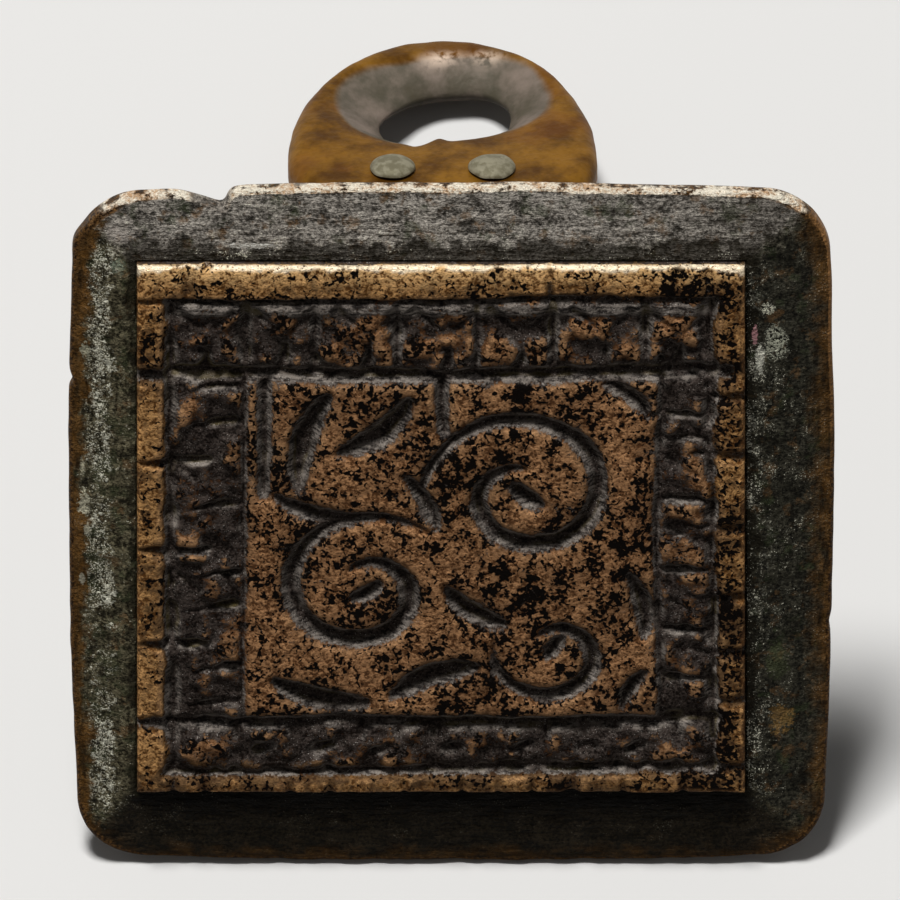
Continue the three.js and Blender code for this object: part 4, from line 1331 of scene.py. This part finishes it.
# %% The rubbed rim and corners
dull_end = on_top * bronze.step(x, 6.5, 12.0)
base = bronze.blend(dull_end * 0.4, base, shade(50, 44, 36))
corner = bronze.step(x.gap(0.0) + y.gap(0.0), 24.2, 26.4)
rub = rim_mask + corner * 0.5 + (grit - 0.5) * 0.9 + (cloudy - 0.5) * 1.2
in_notch = (1 - bronze.step((x - NOTCH_X).gap(0.0), 0.5, 0.9)) * bronze.step(y, 10.0, 12.0)
rubbed = bronze.step(rub, 0.5, 0.95) * (1 - in_notch * 0.85)
rubbed_gold_and_painted_highlight = bronze.blend(bronze.step(grit, 0.4, 0.6), shade(42, 26, 12), shade(112, 80, 44))
# Painted highlight: a cream line along the rim's upper edge.
painted_rim_highlight = bronze.step(y, 13.3, 13.6) * (1 - in_notch)
painted_rim_highlight = painted_rim_highlight * bronze.step(rim_mask + (mottled - 0.5) * 2.4, 0.6, 0.9)
rim_tone = bronze.step(streaks * 0.5 + grit * 0.5, 0.4, 0.56)
painted_highlight_gold = bronze.blend(rim_tone, shade(206, 166, 126), shade(255, 244, 222))
rubbed_gold_and_painted_highlight = bronze.blend(painted_rim_highlight * bronze.step(mottled * 0.5 + grit * 0.5, 0.38, 0.46), rubbed_gold_and_painted_highlight, painted_highlight_gold)
base = bronze.blend(rubbed.over(painted_rim_highlight) * 0.95, base, rubbed_gold_and_painted_highlight)
right_rim = bronze.step(x, 12.9, 13.5) * bronze.step(y, 1.0, 10.0)
right_rim = right_rim * bronze.step(rim_mask + (mottled - 0.5) * 1.2, 0.6, 0.9)
base = bronze.blend(right_rim * 0.45, base, shade(206, 152, 96))
bronze.set(
    Base_Color=base,
    Metallic=0.08 + rubbed * 0.12 + on_top * 0.14,
    Roughness=0.46 - rubbed * 0.1 + (grit - 0.5) * 0.6,
    Specular_IOR_Level=0.02,
    Normal=bronze.bump(0.3, grit * 0.6 + streaks + mottled),
)
dress(plate_mesh, bronze)

# %% [markdown]
# ## The finish of the handle
#
# Hands polish a handle more than anything else on a seal, so it is smooth golden brown with
# soft darker clouds. The cord left a grey film in the hole. Painted highlights sit on the lip
# of the hole, and painted shade darkens the loop's tip. Film and highlights are numbers stored
# on the loop's mesh, so they follow its shape. One function makes the finish for the loop and
# for the shank, so that the two match.


# %% Golden brown bronze, with a grey film by the hole
def golden_bronze(name, has_hole=False):
    """The handle's finish. The piece with the hole has the film, painted highlights round the mouth of the
    hole and painted shade at its tip as well.
    """
    golden = Finish(name)
    cloudy = golden.grain(1.8, 4.0, roughness=0.6)
    gritty = golden.grain(0.25, 4.0)
    rusty = golden.step(golden.grain(2.6, 3.0), 0.5, 0.64)
    colour = golden.blend(golden.step(cloudy, 0.34, 0.66), shade(80, 50, 10), shade(138, 96, 30))
    colour = golden.blend(rusty * 0.35, colour, shade(118, 70, 28))
    colour = golden.blend(golden.step(gritty + cloudy * 0.4, 0.78, 0.95) * 0.25, colour, shade(70, 48, 26))
    filmed = 0.0
    if has_hole:
        # Painted shade: the loop's tip is painted darker.
        painted_shade_tip = golden.step(golden.axis("Z"), SHOULDER_Z - 11.0, SHOULDER_Z - 13.0)
        colour = golden.blend(painted_shade_tip * 0.5, colour, shade(70, 42, 12))
        filmed = golden.step(golden.reading("film") + (cloudy - 0.5) * 0.7, 0.5, 0.9)
        grey = golden.blend(golden.step(cloudy, 0.3, 0.7), shade(86, 84, 72), shade(138, 128, 120))
        colour = golden.blend(filmed * 0.85, colour, grey)
        # Painted highlight: the pale spots on the lip of the hole.
        painted_lip_highlight_mask = golden.reading("painted_lip_highlight") * golden.step(gritty + cloudy, 0.8, 1.1)
        colour = golden.blend(painted_lip_highlight_mask * 0.8, colour, shade(240, 214, 190))
    golden.set(
        Base_Color=colour,
        Metallic=0.3 - filmed * 0.26,
        Roughness=0.48 + (gritty - 0.5) * 0.25,
        Specular_IOR_Level=0.05,
        Normal=golden.bump(0.03, gritty + cloudy),
    )
    return golden


dress(loop_mesh, golden_bronze("golden_bronze_loop", has_hole=True))
dress(shank_mesh, golden_bronze("golden_bronze_shank"))

# %% [markdown]
# The rivet heads are a paler metal, worn dull. The solder under the die is tin and lead,
# which ages to a flat grey. It is hidden, but a section through the seal would show it, so it
# has a finish as well.

# %% Pale rivet heads
pale = Finish("pale_rivet_metal")
pale_grit = pale.grain(0.3, 4.0)
pale.set(
    Base_Color=pale.blend(pale.step(pale_grit, 0.38, 0.62), shade(112, 106, 84), shade(144, 138, 116)),
    Metallic=0.2,
    Roughness=0.6 + (pale_grit - 0.5) * 0.3,
    Specular_IOR_Level=0.2,
    Normal=pale.bump(0.03, pale_grit),
)
for rivet in rivets:
    dress(rivet.data, pale)

# %% Dull solder under the die
solder = Finish("dull_solder")
solder_grit = solder.grain(0.4, 4.0)
solder.set(
    Base_Color=solder.blend(solder_grit, shade(120, 122, 124), shade(160, 162, 164)),
    Metallic=0.9,
    Roughness=0.5 + (solder_grit - 0.5) * 0.3,
)
bed = frame["nodes"]["solder_bed"]
bed.data.materials.clear()
dress(bed.data, solder)
